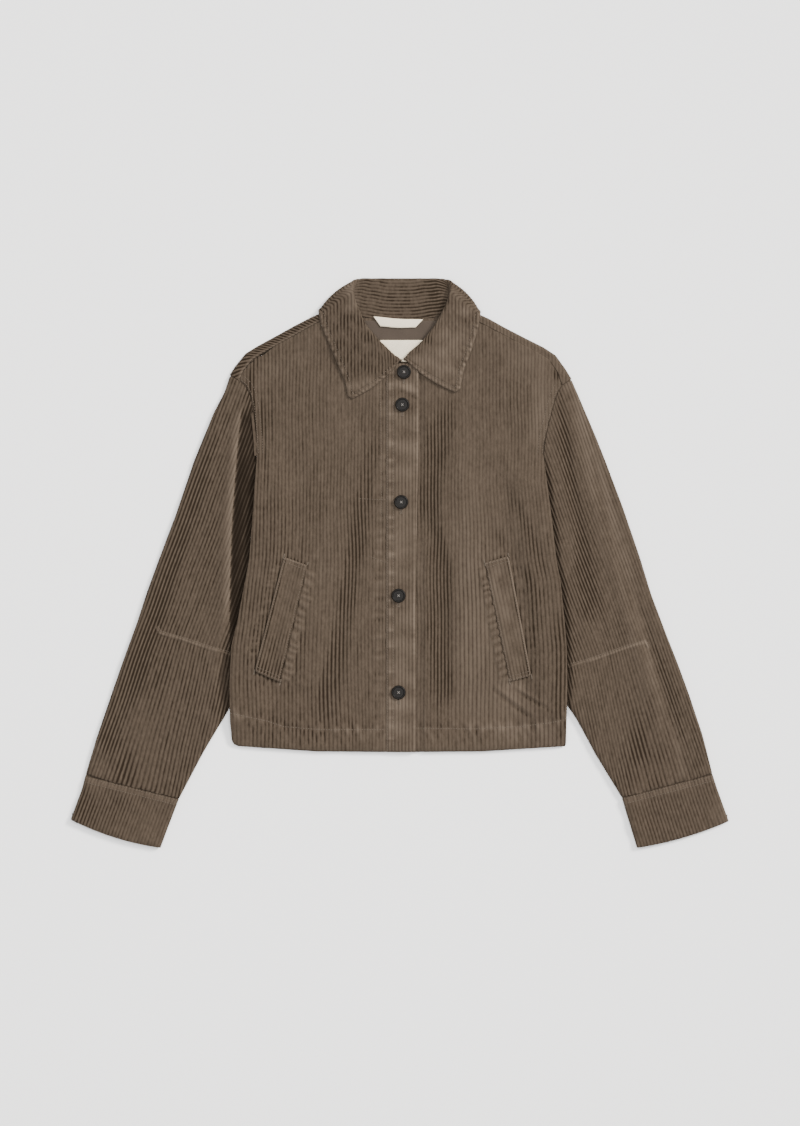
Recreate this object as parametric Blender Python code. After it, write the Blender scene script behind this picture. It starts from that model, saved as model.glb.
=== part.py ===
"""Corduroy overshirt, laid flat with its front up and buttoned right over left.

The tables are in millimetres.  X runs across the garment (the wearer's right side
is at -X), Y runs from the hem to the collar and Z is up from the surface below.
Every piece of cloth is a wall between an outer and an inner grid of points.
"""

import math
from collections import namedtuple

import bmesh
import bpy
from mathutils import Vector
from mathutils.bvhtree import BVHTree

MM = 0.001

# Driving dimensions
CLOTH = 1.8            # one layer of corduroy
DOUBLE = 2.6           # two layers sewn together
THIN = 0.8             # plain facing cloth
RIBBON = 0.6           # label
TAPE = 1.2             # hanger loop
SEAM = 0.35            # gap kept at every seam
REST = 0.5             # gap under a piece that lies on another
BODY_HEIGHT = 7.0      # underside of the back to the top of the front
EDGE_ROUND = 10.0      # width of the soft edge at the side seams
FOLD_RADIUS = 3.0      # half height of a flattened fold
TUCK_LIFT = 5.0        # how far the sleeves lift the sides of the body
TUCK_TOP = 4.5         # top of the sleeve where it lies under the body
TUCK_FULL = 30.0       # the lift is whole this far in from the side
TUCK_END = 62.0        # and has gone this far in
FALL_LIFT = 2.95       # how far the collar's fall lifts the back of the neck
ARMPIT_Y = 143.0
HEM_DEPTH = 31.0
PLACKET_LEFT = -18.0
PLACKET_TOP = 265.5
PLACKET_PROUD = 1.3    # top of the placket above the front
UNDERLAP_DIP = 2.2     # how far the left front drops to pass under the placket
UNDERLAP_FROM = 36.0
UNDERLAP_TO = 27.0
ROLL_RADIUS = 3.5      # the collar's roll
BUTTON_RADIUS = 9.3
BUTTON_THICK = 3.4
HOLE_RADIUS = 1.1
HOLE_SPACING = 2.1
BUTTON_SIDES = 20

CLOTH_COLOUR = (0.145, 0.105, 0.075, 1.0)
TRIM_COLOUR = (0.155, 0.115, 0.086, 1.0)
TAPE_COLOUR = (0.76, 0.71, 0.61, 1.0)
HORN_COLOUR = (0.045, 0.038, 0.032, 1.0)

Edge = namedtuple("Edge", "y left right")
SIDE_EDGES = [
    Edge(-246, -220.0, 219.0),
    Edge(-237, -224.5, 221.0),
    Edge(-209, -226.5, 222.0),
    Edge(-160, -226.5, 223.0),
    Edge(-110, -224.0, 222.0),
    Edge(-75, -215.5, 219.0),
    Edge(-25, -206.0, 214.0),
    Edge(4, -200.5, 208.5),
    Edge(57, -196.0, 202.6),
    Edge(107, -193.0, 196.0),
    Edge(143, -190.0, 191.5),
]
SIDE_ROWS = [-246, -234, -212, -180, -145, -110, -75, -40, 0, 40, 80, 110, 143]

Point = namedtuple("Point", "x y")
ARMHOLE = {
    -1: [Point(-190, 143), Point(-191, 162), Point(-192.5, 180), Point(-194, 196),
         Point(-196, 211), Point(-199.5, 224), Point(-205, 235.5), Point(-214, 243)],
    1: [Point(191.5, 143), Point(193, 161), Point(196, 177), Point(199.6, 191),
        Point(203, 204.5), Point(206.5, 217.5), Point(211, 229), Point(217, 237.5)],
}

Shoulder = namedtuple("Shoulder", "seam_x seam_y edge_x edge_y")
SHOULDERS = {
    -1: [Shoulder(-214, 243, -225.3, 250.5), Shoulder(-208, 257, -219, 260.5),
         Shoulder(-196, 271.5, -204.5, 278.5), Shoulder(-184.5, 279, -190, 287.5),
         Shoulder(-163, 291, -168, 299.5), Shoulder(-134, 307, -139, 315.5),
         Shoulder(-112, 319, -117, 326.5), Shoulder(-89, 330, -93, 336.5)],
    1: [Shoulder(217, 237.5, 227.8, 245.4), Shoulder(211, 254, 220, 258),
        Shoulder(199, 271, 207, 276), Shoulder(187, 279, 191, 286.5),
        Shoulder(165, 290.5, 169, 297.5), Shoulder(135, 306, 139, 313),
        Shoulder(112, 318, 117, 325), Shoulder(89, 329, 93, 335.5)],
}

NECK_ROWS = {
    -1: [Point(-18.4, 186), Point(-18.4, 214), Point(-18.4, 240), Point(-18.4, 258),
         Point(-34, 277), Point(-54, 297), Point(-71, 315), Point(-87, 329.5)],
    1: [Point(-14, 186), Point(-14, 214), Point(-14, 240), Point(-14, 256),
        Point(29, 272), Point(53, 295), Point(71, 314), Point(87, 328.5)],
}
BACK_NECK = [Point(-70, 331), Point(-45, 326), Point(-15, 323.5), Point(15, 323.5),
             Point(45, 326), Point(70, 331)]

Fold = namedtuple("Fold", "y x depth width")
FRONT_FOLDS = [
    # soft trough beside the placket on the left front
    [Fold(205, 62, 0.5, 15), Fold(182, 57, 2.2, 15), Fold(114, 41, 2.6, 13), Fold(53, 39, 2.6, 13),
     Fold(-8, 56, 2.6, 14), Fold(-110, 56, 2.4, 14), Fold(-172, 59, 1.6, 14), Fold(-215, 60, 0.2, 14)],
    # the ridge that it leaves
    [Fold(190, 88, -0.4, 22), Fold(53, 90, -1.8, 24), Fold(-110, 94, -1.6, 24), Fold(-205, 92, -0.3, 24)],
    # slanting trough on the right front
    [Fold(190, -28, 0.3, 10), Fold(151, -34, 1.2, 11), Fold(53, -54, 1.4, 12), Fold(6, -62, 1.4, 12),
     Fold(-110, -84, 1.5, 13), Fold(-172, -97, 1.2, 14), Fold(-210, -101, 0.2, 14)],
    # ridge between that trough and the pocket
    [Fold(120, -74, -0.4, 20), Fold(6, -96, -1.2, 20), Fold(-150, -124, -1.0, 20)],
]

# reach: how far the sleeve's ridge lies from the body's side; under: 1 where the body covers it
Station = namedtuple("Station", "outer_x outer_y inner_x inner_y ridge reach under")
SLEEVES = {
    -1: [Station(-233, 228, -193.5, 118, 1.5, 10, 0), Station(-248, 199, -195.2, 95, 2.6, 22, 1),
         Station(-262, 165, -183, 60, 3.2, 26, 1), Station(-274, 135.5, -178, 28, 3.4, 27, 1),
         Station(-299, 62, -182, -30, 3.4, 25, 1), Station(-321, 4, -192, -75, 3.0, 20, 1),
         Station(-337, -40, -200, -105, 2.6, 14, 1), Station(-349, -77, -206, -128, 2.2, 9, 1),
         Station(-365, -121, -213, -165, 1.4, 5, 1), Station(-380.5, -165, -230, -199, 0.8, 4, 0),
         Station(-404, -234, -262, -253, 0.4, 4, 0), Station(-418.5, -283, -294, -314, 0.0, 4, 0)],
    1: [Station(237, 225, 195.4, 122, 0.4, 6, 0), Station(248, 199, 198.2, 98, 0.8, 6, 1),
        Station(262, 166, 186, 63, 1.0, 6, 1), Station(275, 133, 181, 32, 1.2, 6, 1),
        Station(297.5, 73, 187, -25, 1.4, 6, 1), Station(320, 7, 196, -72, 1.6, 6, 1),
        Station(335, -42, 203, -110, 1.6, 6, 1), Station(354.5, -94, 207, -144, 1.4, 5, 1),
        Station(370, -133, 214, -176, 0.8, 4, 1), Station(385, -174, 235, -207, 0.4, 4, 0),
        Station(403, -228, 262, -257, 0.2, 4, 0), Station(416.5, -281, 296, -312.5, 0.0, 4, 0)],
}

Ring = namedtuple("Ring", "outer_x outer_y inner_x inner_y bow")
CUFFS = {
    -1: [Ring(-418.6, -283.4, -294.1, -314.4, 0), Ring(-424, -303, -302, -335, 2),
         Ring(-431, -322, -310, -356, 4), Ring(-438.2, -341.5, -318.5, -379.4, 5.0)],
    1: [Ring(416.6, -281.4, 296.1, -312.9, 0), Ring(423, -301, 302.5, -335, 1.5),
        Ring(430.5, -322, 309, -356, 3), Ring(438.2, -343.5, 316, -379.4, 4)],
}

# seam: where the collar is sewn to the neck; roll: its fold line; edge: its outer edge.
# turn goes from 0 (fall on top, at the front) to 180 (fall underneath, at the back).
Collar = namedtuple("Collar", "seam_x seam_y roll_x roll_y edge_x edge_y turn bow")
COLLARS = {
    -1: [Collar(-6.0, 268, 1.0, 270.5, -62, 219, 0, 6), Collar(-20, 269, -11, 280, -69, 234, 0, 0),
         Collar(-33.5, 281, -26, 295, -79.5, 258, 0, 0), Collar(-53, 300, -41, 313, -92, 288.5, 0, 0),
         Collar(-68, 319, -53, 335, -102, 312, 0, 0), Collar(-78, 330, -60, 355, -106, 326, 14, -3),
         Collar(-83, 336, -61, 367, -107.6, 331.5, 45, -7), Collar(-83.5, 340, -59, 376, -108.2, 336, 90, -9),
         Collar(-79, 340, -52, 379, -103, 334, 165, -9), Collar(-66, 334.5, -42, 379.3, -82, 322, 180, -4),
         Collar(-44, 327.5, -27, 379.3, -52, 316, 180, 0), Collar(-15, 325, -10, 379.3, -18, 314, 180, 0)],
    1: [Collar(9.5, 270, 5.5, 272.5, 73.5, 227.5, 0, -3), Collar(22, 275, 16, 283, 77, 240, 0, 0),
        Collar(36, 283, 30, 296, 85.5, 258, 0, 0), Collar(53, 300, 45, 315, 95, 283, 0, 0),
        Collar(68, 318, 57, 337, 103, 310, 0, 0), Collar(78, 329, 64, 356, 106, 324, 14, 3),
        Collar(83, 335, 66.5, 367, 107.6, 329, 45, 6), Collar(83.5, 339, 66, 375.5, 108, 333, 90, 7),
        Collar(79, 339, 58, 378.5, 103, 332, 165, 7), Collar(66, 334, 45, 379.3, 82, 321, 180, 3),
        Collar(44, 327.5, 28, 379.3, 52, 316, 180, 0), Collar(15, 325, 10, 379.3, 18, 314, 180, 0)],
}

Corner = namedtuple("Corner", "x y")
WELTS = {
    "welt_right": [Corner(-193, -144), Corner(-159, -159), Corner(-123, -3), Corner(-154, 8)],
    "welt_left": [Corner(146, -158), Corner(175, -150), Corner(145, 9), Corner(113, 0)],
}
BUTTONS = [Point(5.7, 254.0), Point(3.5, 210.5), Point(2.0, 80.9), Point(-1.5, -43.5), Point(-1.5, -172.2)]


# Small helpers

def smooth(start, end, value):
    """Ease from 0 at start to 1 at end."""
    amount = min(1.0, max(0.0, (value - start) / (end - start)))
    return amount * amount * (3.0 - 2.0 * amount)


def mix(first, second, amount):
    return first + (second - first) * amount


def look_up(table, key, column, value):
    """Value of a column, read between the table's rows in order of its key column."""
    rows = sorted(table, key=lambda row: getattr(row, key))
    if value <= getattr(rows[0], key):
        return getattr(rows[0], column)
    for low, high in zip(rows, rows[1:]):
        if value <= getattr(high, key):
            share = (value - getattr(low, key)) / (getattr(high, key) - getattr(low, key))
            return mix(getattr(low, column), getattr(high, column), share)
    return getattr(rows[-1], column)


def along(points, count):
    """Points at even steps of length along a broken line, both ends kept."""
    lengths = [0.0]
    for here, there in zip(points, points[1:]):
        lengths.append(lengths[-1] + (there - here).length)
    result = []
    for step in range(count):
        target = lengths[-1] * step / (count - 1)
        index = max(i for i in range(len(points) - 1) if lengths[i] <= target + 1e-9)
        share = (target - lengths[index]) / (lengths[index + 1] - lengths[index])
        result.append(points[index].lerp(points[index + 1], share))
    return result


def coons(bottom, top, left, right, across, up):
    """Grid of plan points between four edges; across and up hold each line's share."""
    grid = []
    for row, v in enumerate(up):
        line = []
        for col, u in enumerate(across):
            ruled = bottom[col].lerp(top[col], v) + left[row].lerp(right[row], u)
            corners = bottom[0].lerp(bottom[-1], u).lerp(top[0].lerp(top[-1], u), v)
            line.append(ruled - corners)
        grid.append(line)
    return grid


def smooth_rows(rows, steps):
    """Rows between the given ones, on a curve through them (Catmull-Rom)."""
    result = []
    for index in range(len(rows) - 1):
        before = rows[max(index - 1, 0)]
        after = rows[min(index + 2, len(rows) - 1)]
        for step in range(steps):
            t = step / steps
            line = []
            for a, b, c, d in zip(before, rows[index], rows[index + 1], after):
                line.append(0.5 * (2 * b + (c - a) * t + (2 * a - 5 * b + 4 * c - d) * t ** 2
                                   + (3 * b - a - 3 * c + d) * t ** 3))
            result.append(line)
    result.append(rows[-1])
    return result


# The garment's heights

def side_x(side, y):
    return look_up(SIDE_EDGES, "y", "left" if side < 0 else "right", y)


def inset(x, y):
    """Distance in from the nearer side seam."""
    side = -1 if x < 0 else 1
    return side * (side_x(side, y) - x)


def lift(x, y):
    """How far the body is lifted by the sleeves under its sides and the fall under its neck."""
    tuck = 1.0 - smooth(TUCK_FULL, TUCK_END, inset(x, y))
    tuck *= smooth(ARMPIT_Y, ARMPIT_Y - 44, y) * smooth(-242, -200, y)
    neck = smooth(268, 296, y) * (1.0 - smooth(112, 150, abs(x)))
    return TUCK_LIFT * tuck + FALL_LIFT * neck


def edge_share(x, y):
    """1 on the side seam, 0 where the soft edge ends; none beside the armholes."""
    share = max(0.0, 1.0 - max(0.0, inset(x, y)) / EDGE_ROUND) ** 2
    return share * smooth(ARMPIT_Y, ARMPIT_Y - 25, y)


def folds(x, y):
    """Sum of the front's soft troughs (positive depth) and ridges (negative)."""
    total = 0.0
    for fold in FRONT_FOLDS:
        top = max(row.y for row in fold)
        bottom = min(row.y for row in fold)
        fade = smooth(bottom - 25, bottom, y) * smooth(top + 25, top, y)
        centre = look_up(fold, "y", "x", y)
        reach = (x - centre) / look_up(fold, "y", "width", y)
        total -= look_up(fold, "y", "depth", y) * math.exp(-reach * reach) * fade
    return total


def edge_drop():
    """Turns the body's flat layers to meet at mid height on the side seam."""
    return BODY_HEIGHT / 2 - SEAM / 2 - CLOTH


def front_top(x, y):
    return lift(x, y) + BODY_HEIGHT + folds(x, y) - edge_drop() * edge_share(x, y)


def back_under(x, y):
    return lift(x, y) + edge_drop() * edge_share(x, y)


# Building solids

def material_for(name, colour, roughness, metallic=0.0):
    material = bpy.data.materials.new(name)
    material.use_nodes = True
    shader = material.node_tree.nodes["Principled BSDF"]
    shader.inputs["Base Color"].default_value = colour
    shader.inputs["Roughness"].default_value = roughness
    shader.inputs["Metallic"].default_value = metallic
    return material


def finish(name, mesh_data, colour, roughness):
    """Put a closed mesh in the scene, with faces out, under its own name and material."""
    bmesh.ops.recalc_face_normals(mesh_data, faces=mesh_data.faces)
    mesh = bpy.data.meshes.new(name)
    mesh_data.to_mesh(mesh)
    mesh_data.free()
    mesh.materials.append(material_for(name, colour, roughness))
    piece = bpy.data.objects.new(name, mesh)
    bpy.context.collection.objects.link(piece)
    return piece


def wall(name, outer, inner, colour=CLOTH_COLOUR, wrap=False, present=None, roughness=0.9):
    """Closed wall between two grids; wrap joins the last column to the first.

    present(row, col) says which cells have cloth.  Edges used by one cell get a rim.
    """
    rows, cols = len(outer), len(outer[0])
    cells = []
    for row in range(rows - 1):
        for col in range(cols if wrap else cols - 1):
            if present is None or present(row, col):
                after = (col + 1) % cols
                cells.append([(row, col), (row, after), (row + 1, after), (row + 1, col)])
    data = bmesh.new()
    corners = sorted({corner for cell in cells for corner in cell})
    outside = {c: data.verts.new(Vector(outer[c[0]][c[1]]) * MM) for c in corners}
    inside = {c: data.verts.new(Vector(inner[c[0]][c[1]]) * MM) for c in corners}
    uses = {}
    for cell in cells:
        data.faces.new([outside[c] for c in cell])
        data.faces.new([inside[c] for c in reversed(cell)])
        for start, end in zip(cell, cell[1:] + cell[:1]):
            uses.setdefault(frozenset((start, end)), []).append((start, end))
    for edges in uses.values():
        if len(edges) == 1:
            start, end = edges[0]
            data.faces.new([outside[end], outside[start], inside[start], inside[end]])
    return finish(name, data, colour, roughness)


def sheet(name, plan, top, thick, **options):
    """Wall that is a height field: top(x, y) is its upper face."""
    outer = [[(p.x, p.y, top(p.x, p.y)) for p in line] for line in plan]
    inner = [[(p.x, p.y, top(p.x, p.y) - thick(p.x, p.y)) for p in line] for line in plan]
    return wall(name, outer, inner, **options)


def height_on(piece):
    """Function giving the height of a piece's upper face, in millimetres."""
    tree = BVHTree.FromObject(piece, bpy.context.evaluated_depsgraph_get())

    def height(x, y):
        hit = tree.ray_cast(Vector((x * MM, y * MM, 1.0)), Vector((0, 0, -1)))[0]
        return hit.z / MM
    return height


# Body

def shoulder_lines(side, count):
    """Seam and outer edge of a shoulder at matching points, armhole to neck."""
    seam = along([Vector((p.seam_x, p.seam_y)) for p in SHOULDERS[side]], count)
    edge = along([Vector((p.edge_x, p.edge_y)) for p in SHOULDERS[side]], count)
    return seam, edge


def body_thickness(x, y):
    """The hem is turned up inside, so the cloth is double there, but for its soft side edge."""
    double = smooth(HEM_DEPTH + 3, HEM_DEPTH - 3, y + 250) * (1.0 - edge_share(x, y))
    return mix(CLOTH, DOUBLE, double)


def front_panel(name, side, columns):
    """One front: side seam and armhole to the front edge and neckline."""
    count = len(columns)
    seam, edge = shoulder_lines(side, count)
    top = [s + (s - e).normalized() * SEAM for s, e in zip(seam, edge)]
    outer = [Vector((side_x(side, y), y)) for y in SIDE_ROWS]
    outer += [Vector(p) for p in ARMHOLE[side][1:-1]] + [top[0]]
    edge_line = NECK_ROWS[side][0].x
    inner = [Vector((edge_line, mix(-251, 186, (y + 246) / (SIDE_ROWS[-1] + 246)))) for y in SIDE_ROWS]
    inner += [Vector(p) for p in NECK_ROWS[side][1:-1]] + [top[-1]]
    hem = [outer[0].lerp(inner[0], u) for u in columns]
    up = [row / (len(outer) - 1) for row in range(len(outer))]
    plan = coons(hem, top, outer, inner, columns, up)

    def underlap(x):
        return 1.0 - smooth(UNDERLAP_TO, UNDERLAP_FROM, x) if side > 0 else 0.0

    def upper(x, y):
        return front_top(x, y) - UNDERLAP_DIP * underlap(x)

    def thick(x, y):
        return mix(body_thickness(x, y), CLOTH, underlap(x))
    return sheet(name, plan, upper, thick)


def back_panel():
    """The back, with its shoulders folded forward to the shoulder seams."""
    count = 11
    left_seam, left_edge = shoulder_lines(-1, count)
    right_seam, right_edge = shoulder_lines(1, count)
    seam = left_seam + [Vector(p) for p in BACK_NECK] + right_seam[::-1]
    edge = left_edge + [Vector(p) for p in BACK_NECK] + right_edge[::-1]
    inward = [(s - e).normalized() if (s - e).length else Vector((0, -1)) for s, e in zip(seam, edge)]
    neck = range(count, count + len(BACK_NECK))
    crest = [e if i in neck else e + d * FOLD_RADIUS for i, (e, d) in enumerate(zip(edge, inward))]

    def outer_line(side, start):
        low = [Vector((side_x(side, y), y)) for y in SIDE_ROWS]
        return low + [Vector(p) for p in ARMHOLE[side][1:]] + [start]
    left = outer_line(-1, crest[0])
    right = outer_line(1, crest[-1])
    last = len(seam) - 1
    span = right[0].x - left[0].x
    near = [0.0, 4.0 / span, EDGE_ROUND / span]
    middle = [mix(near[-1], 0.5, i / (last / 2 - 2.5)) for i in range(1, (last + 1) // 2 - 2)]
    across = near + middle
    across = across + [1.0 - u for u in reversed(across)]
    hem = [left[0].lerp(right[0], u) for u in across]
    up = [row / (len(left) - 1) for row in range(len(left))]
    plan = coons(hem, crest, left, right, across, up)
    outer = [[(p.x, p.y, back_under(p.x, p.y)) for p in line] for line in plan]
    inner = [[(p.x, p.y, back_under(p.x, p.y) + body_thickness(p.x, p.y)) for p in line] for line in plan]

    middle_out, middle_in, crest_out, crest_in, seam_out, seam_in = [], [], [], [], [], []
    for e, d, c, s in zip(edge, inward, crest, seam):
        low = lift(c.x, c.y)
        high = front_top(c.x, c.y)
        end = front_top(s.x, s.y)
        turned = e + d * CLOTH
        middle_out.append((e.x, e.y, (low + high) / 2))
        middle_in.append((turned.x, turned.y, (low + high) / 2))
        crest_out.append((c.x, c.y, high))
        crest_in.append((c.x, c.y, high - CLOTH))
        seam_out.append((s.x, s.y, end))
        seam_in.append((s.x, s.y, end - CLOTH))
    outer += [middle_out, crest_out, seam_out]
    inner += [middle_in, crest_in, seam_in]
    flat_rows = len(plan) - 1

    def present(row, col):
        return row < flat_rows or not (col + 1 in neck or col in neck)
    return wall("back", outer, inner, present=present)


def placket():
    """Buttonhole band on the right front's edge, over the left front."""
    ys = [-251.5 + (PLACKET_TOP + 251.5) * i / 18 for i in range(19)]
    plan = []
    for y in ys:
        right = mix(21.5, 25.0, smooth(-60, 200, y))
        plan.append([Vector((x, y)) for x in (PLACKET_LEFT, -8.0, 3.0, 14.0, right)])
    return sheet("placket", plan, lambda x, y: front_top(x, y) + PLACKET_PROUD, lambda x, y: DOUBLE)


# Sleeves

def flat_ring(start, end, offsets, tops, thick, bow=0.0):
    """Closed ring of a flattened tube, from its outer edge over the top and back below.

    offsets are distances from the outer edge; tops are the heights of the upper layer.
    """
    direction = (end - start).normalized()
    outward = Vector((direction.y, -direction.x))
    if outward.y > 0:
        outward = -outward
    length = (end - start).length

    def place(distance):
        share = distance / length
        return start + direction * distance + outward * bow * 4 * share * (1 - share)
    outer, inner = [], []
    middle = tops[0] / 2
    outer.append((*start, middle))
    inner.append((*(start + direction * thick), middle))
    for distance, top in zip(offsets, tops):
        spot = place(distance)
        outer.append((spot.x, spot.y, top))
        inner.append((spot.x, spot.y, top - thick))
    middle = tops[-1] / 2
    outer.append((*end, middle))
    inner.append((*(end - direction * thick), middle))
    for distance in reversed(offsets):
        spot = place(distance)
        outer.append((spot.x, spot.y, 0.0))
        inner.append((spot.x, spot.y, thick))
    return outer, inner


def armhole_ring(side):
    """First ring of a sleeve, beside the body's armhole line."""
    shoulder = SHOULDERS[side][0]
    tip = Vector((shoulder.edge_x, shoulder.edge_y))
    seam = Vector((shoulder.seam_x, shoulder.seam_y))
    crest = tip + (seam - tip).normalized() * FOLD_RADIUS
    away = Vector((side * 0.45, -0.4))
    line = [crest] + [Vector(p) for p in reversed(ARMHOLE[side])]
    line = [p + away for p in line]
    start = tip + away
    end = line[-1] + Vector((side * 1.2, -FOLD_RADIUS))
    outer = [(*start, BODY_HEIGHT / 2)]
    inner = [(start.x - side * 1.2, start.y - 1.2, BODY_HEIGHT / 2)]
    outer += [(p.x, p.y, BODY_HEIGHT) for p in line]
    inner += [(p.x, p.y, BODY_HEIGHT - CLOTH) for p in line]
    outer.append((*end, BODY_HEIGHT / 2))
    inner.append((end.x, end.y + CLOTH, BODY_HEIGHT / 2))
    outer += [(p.x, p.y, 0.0) for p in reversed(line)]
    inner += [(p.x, p.y, CLOTH) for p in reversed(line)]
    return outer, inner


def sleeve_ring(side, station):
    start = Vector((station.outer_x, station.outer_y))
    end = Vector((station.inner_x, station.inner_y))
    length = (end - start).length
    beyond = length - 14.0
    if station.under:
        steps = [start.lerp(end, i / 200) for i in range(201)]
        hidden = sum(1 for p in steps if inset(p.x, p.y) > 0)
        beyond = min(beyond, length * (1 - hidden / 200))
    crest = beyond - station.reach
    offsets = [FOLD_RADIUS] + [crest * share for share in (0.15, 0.34, 0.58)]
    offsets += [crest - 12.0, crest, beyond - 0.45 * station.reach, (beyond + length) / 2, length - FOLD_RADIUS]
    low = TUCK_TOP if station.under else BODY_HEIGHT - 1.0
    tops = [BODY_HEIGHT - 0.8, BODY_HEIGHT, BODY_HEIGHT + 0.3, BODY_HEIGHT + 0.2]
    tops += [BODY_HEIGHT + 0.4 * station.ridge, BODY_HEIGHT + station.ridge, low, low, low]
    return flat_ring(start, end, offsets, tops, CLOTH)


def sleeve(name, side):
    rings = [sleeve_ring(side, station) for station in reversed(SLEEVES[side])] + [armhole_ring(side)]
    return wall(name, [r[0] for r in rings], [r[1] for r in rings], wrap=True)


def cuff(name, side):
    rings = []
    for ring in CUFFS[side]:
        start = Vector((ring.outer_x, ring.outer_y))
        end = Vector((ring.inner_x, ring.inner_y))
        length = (end - start).length
        offsets = [FOLD_RADIUS] + [length * share for share in (0.12, 0.28, 0.5, 0.72, 0.88)]
        offsets.append(length - FOLD_RADIUS)
        tops = [7.0, 7.8, 8.0, 8.0, 8.0, 7.8, 7.0]
        rings.append(flat_ring(start, end, offsets, tops, DOUBLE, ring.bow))
    return wall(name, [r[0] for r in rings], [r[1] for r in rings], wrap=True)


# Collar and neck

def collar_section(side, row):
    """Points of the collar's upper face from the neck seam over the roll to the edge."""
    seam = Vector((row.seam_x, row.seam_y, 0))
    roll = Vector((row.roll_x, row.roll_y, 0))
    edge = Vector((row.edge_x, row.edge_y, 0))
    forward = (roll - seam).normalized()
    outward = Vector((-forward.y, forward.x, 0)) * (-side)
    turn = math.radians(row.turn)
    across = Vector((0, 0, 1)) * math.cos(turn) + outward * math.sin(turn)
    back_share = (1 - math.cos(turn)) / 2
    leaf_height = lift(row.edge_x, row.edge_y) + BODY_HEIGHT
    roll_height = lift(row.roll_x, min(row.roll_y, 330)) + BODY_HEIGHT
    seam.z = mix(lift(row.seam_x, row.seam_y) + BODY_HEIGHT - 2.2, FALL_LIFT + CLOTH + 0.5, back_share)
    centre = roll - forward * ROLL_RADIUS
    centre.z = mix(roll_height + 1.6, ROLL_RADIUS, back_share)
    edge.z = mix(leaf_height + REST + DOUBLE + 0.3, 0.0, back_share)
    stand = centre - across * ROLL_RADIUS
    fall = centre + across * ROLL_RADIUS
    crown = centre + forward * ROLL_RADIUS
    low = centre + (forward - across).normalized() * ROLL_RADIUS
    high = centre + (forward + across).normalized() * ROLL_RADIUS
    run = edge - fall
    sideways = Vector((run.y, -run.x, 0)).normalized() * row.bow
    line = [seam, seam.lerp(stand, 0.5), stand, low, crown, high, fall]
    for share in (0.33, 0.67):
        line.append(fall.lerp(edge, share) + sideways * 4 * share * (1 - share))
    line.append(edge)
    return line


def collar():
    left = [collar_section(-1, row) for row in COLLARS[-1]]
    right = [collar_section(1, row) for row in COLLARS[1]]
    rows = smooth_rows(left + right[::-1], 2)
    for point in (p for line in rows for p in line):
        point.z = max(point.z, 0.0)
    inner = []
    for index, line in enumerate(rows):
        before = rows[max(index - 1, 0)]
        after = rows[min(index + 1, len(rows) - 1)]
        inner_line = []
        for col, point in enumerate(line):
            along_row = line[min(col + 1, len(line) - 1)] - line[max(col - 1, 0)]
            along_neck = after[col] - before[col]
            normal = along_row.cross(along_neck).normalized()
            inner_line.append(point + normal * DOUBLE)
        inner.append(inner_line)
    return wall("collar", rows, inner)


def neck_pieces(back):
    """Facing inside the back neck, and the loop and bare label on it."""
    on_back = height_on(back)
    plan = []
    for share in range(6):
        y = mix(321.5, 278.0, share / 5)
        half = mix(60.0, 30.0, share / 5)
        plan.append([Vector((half * (i / 4 - 1), y)) for i in range(9)])
    facing = sheet("neck_facing", plan, lambda x, y: on_back(x, y) + REST + THIN,
                   lambda x, y: THIN, colour=TRIM_COLOUR)
    on_facing = height_on(facing)
    loop_plan = [[Vector((mix(-30, 27, i / 6), 320.5)) for i in range(7)],
                 [Vector((mix(-25.5, 20.5, i / 6), 313.3)) for i in range(7)]]
    sheet("hanger_loop", loop_plan, lambda x, y: on_facing(x, y) + REST + TAPE,
          lambda x, y: TAPE, colour=TAPE_COLOUR)
    label_plan = []
    for share in range(3):
        y = mix(296.5, 280.0, share / 2)
        label_plan.append([Vector((mix(-26.0, 31.0, i / 6), y)) for i in range(7)])
    sheet("label", label_plan, lambda x, y: on_facing(x, y) + REST + RIBBON,
          lambda x, y: RIBBON, colour=TAPE_COLOUR)


# Pockets and buttons

def welt(name, front):
    """Slanted pocket welt, two layers thick, lying on its front."""
    corners = [Vector(p) for p in WELTS[name]]
    on_front = height_on(front)
    plan = []
    for step in range(9):
        low = corners[0].lerp(corners[3], step / 8)
        high = corners[1].lerp(corners[2], step / 8)
        plan.append([low.lerp(high, share) for share in (0.0, 0.33, 0.67, 1.0)])
    sheet(name, plan, lambda x, y: on_front(x, y) + REST + DOUBLE, lambda x, y: DOUBLE)


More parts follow.
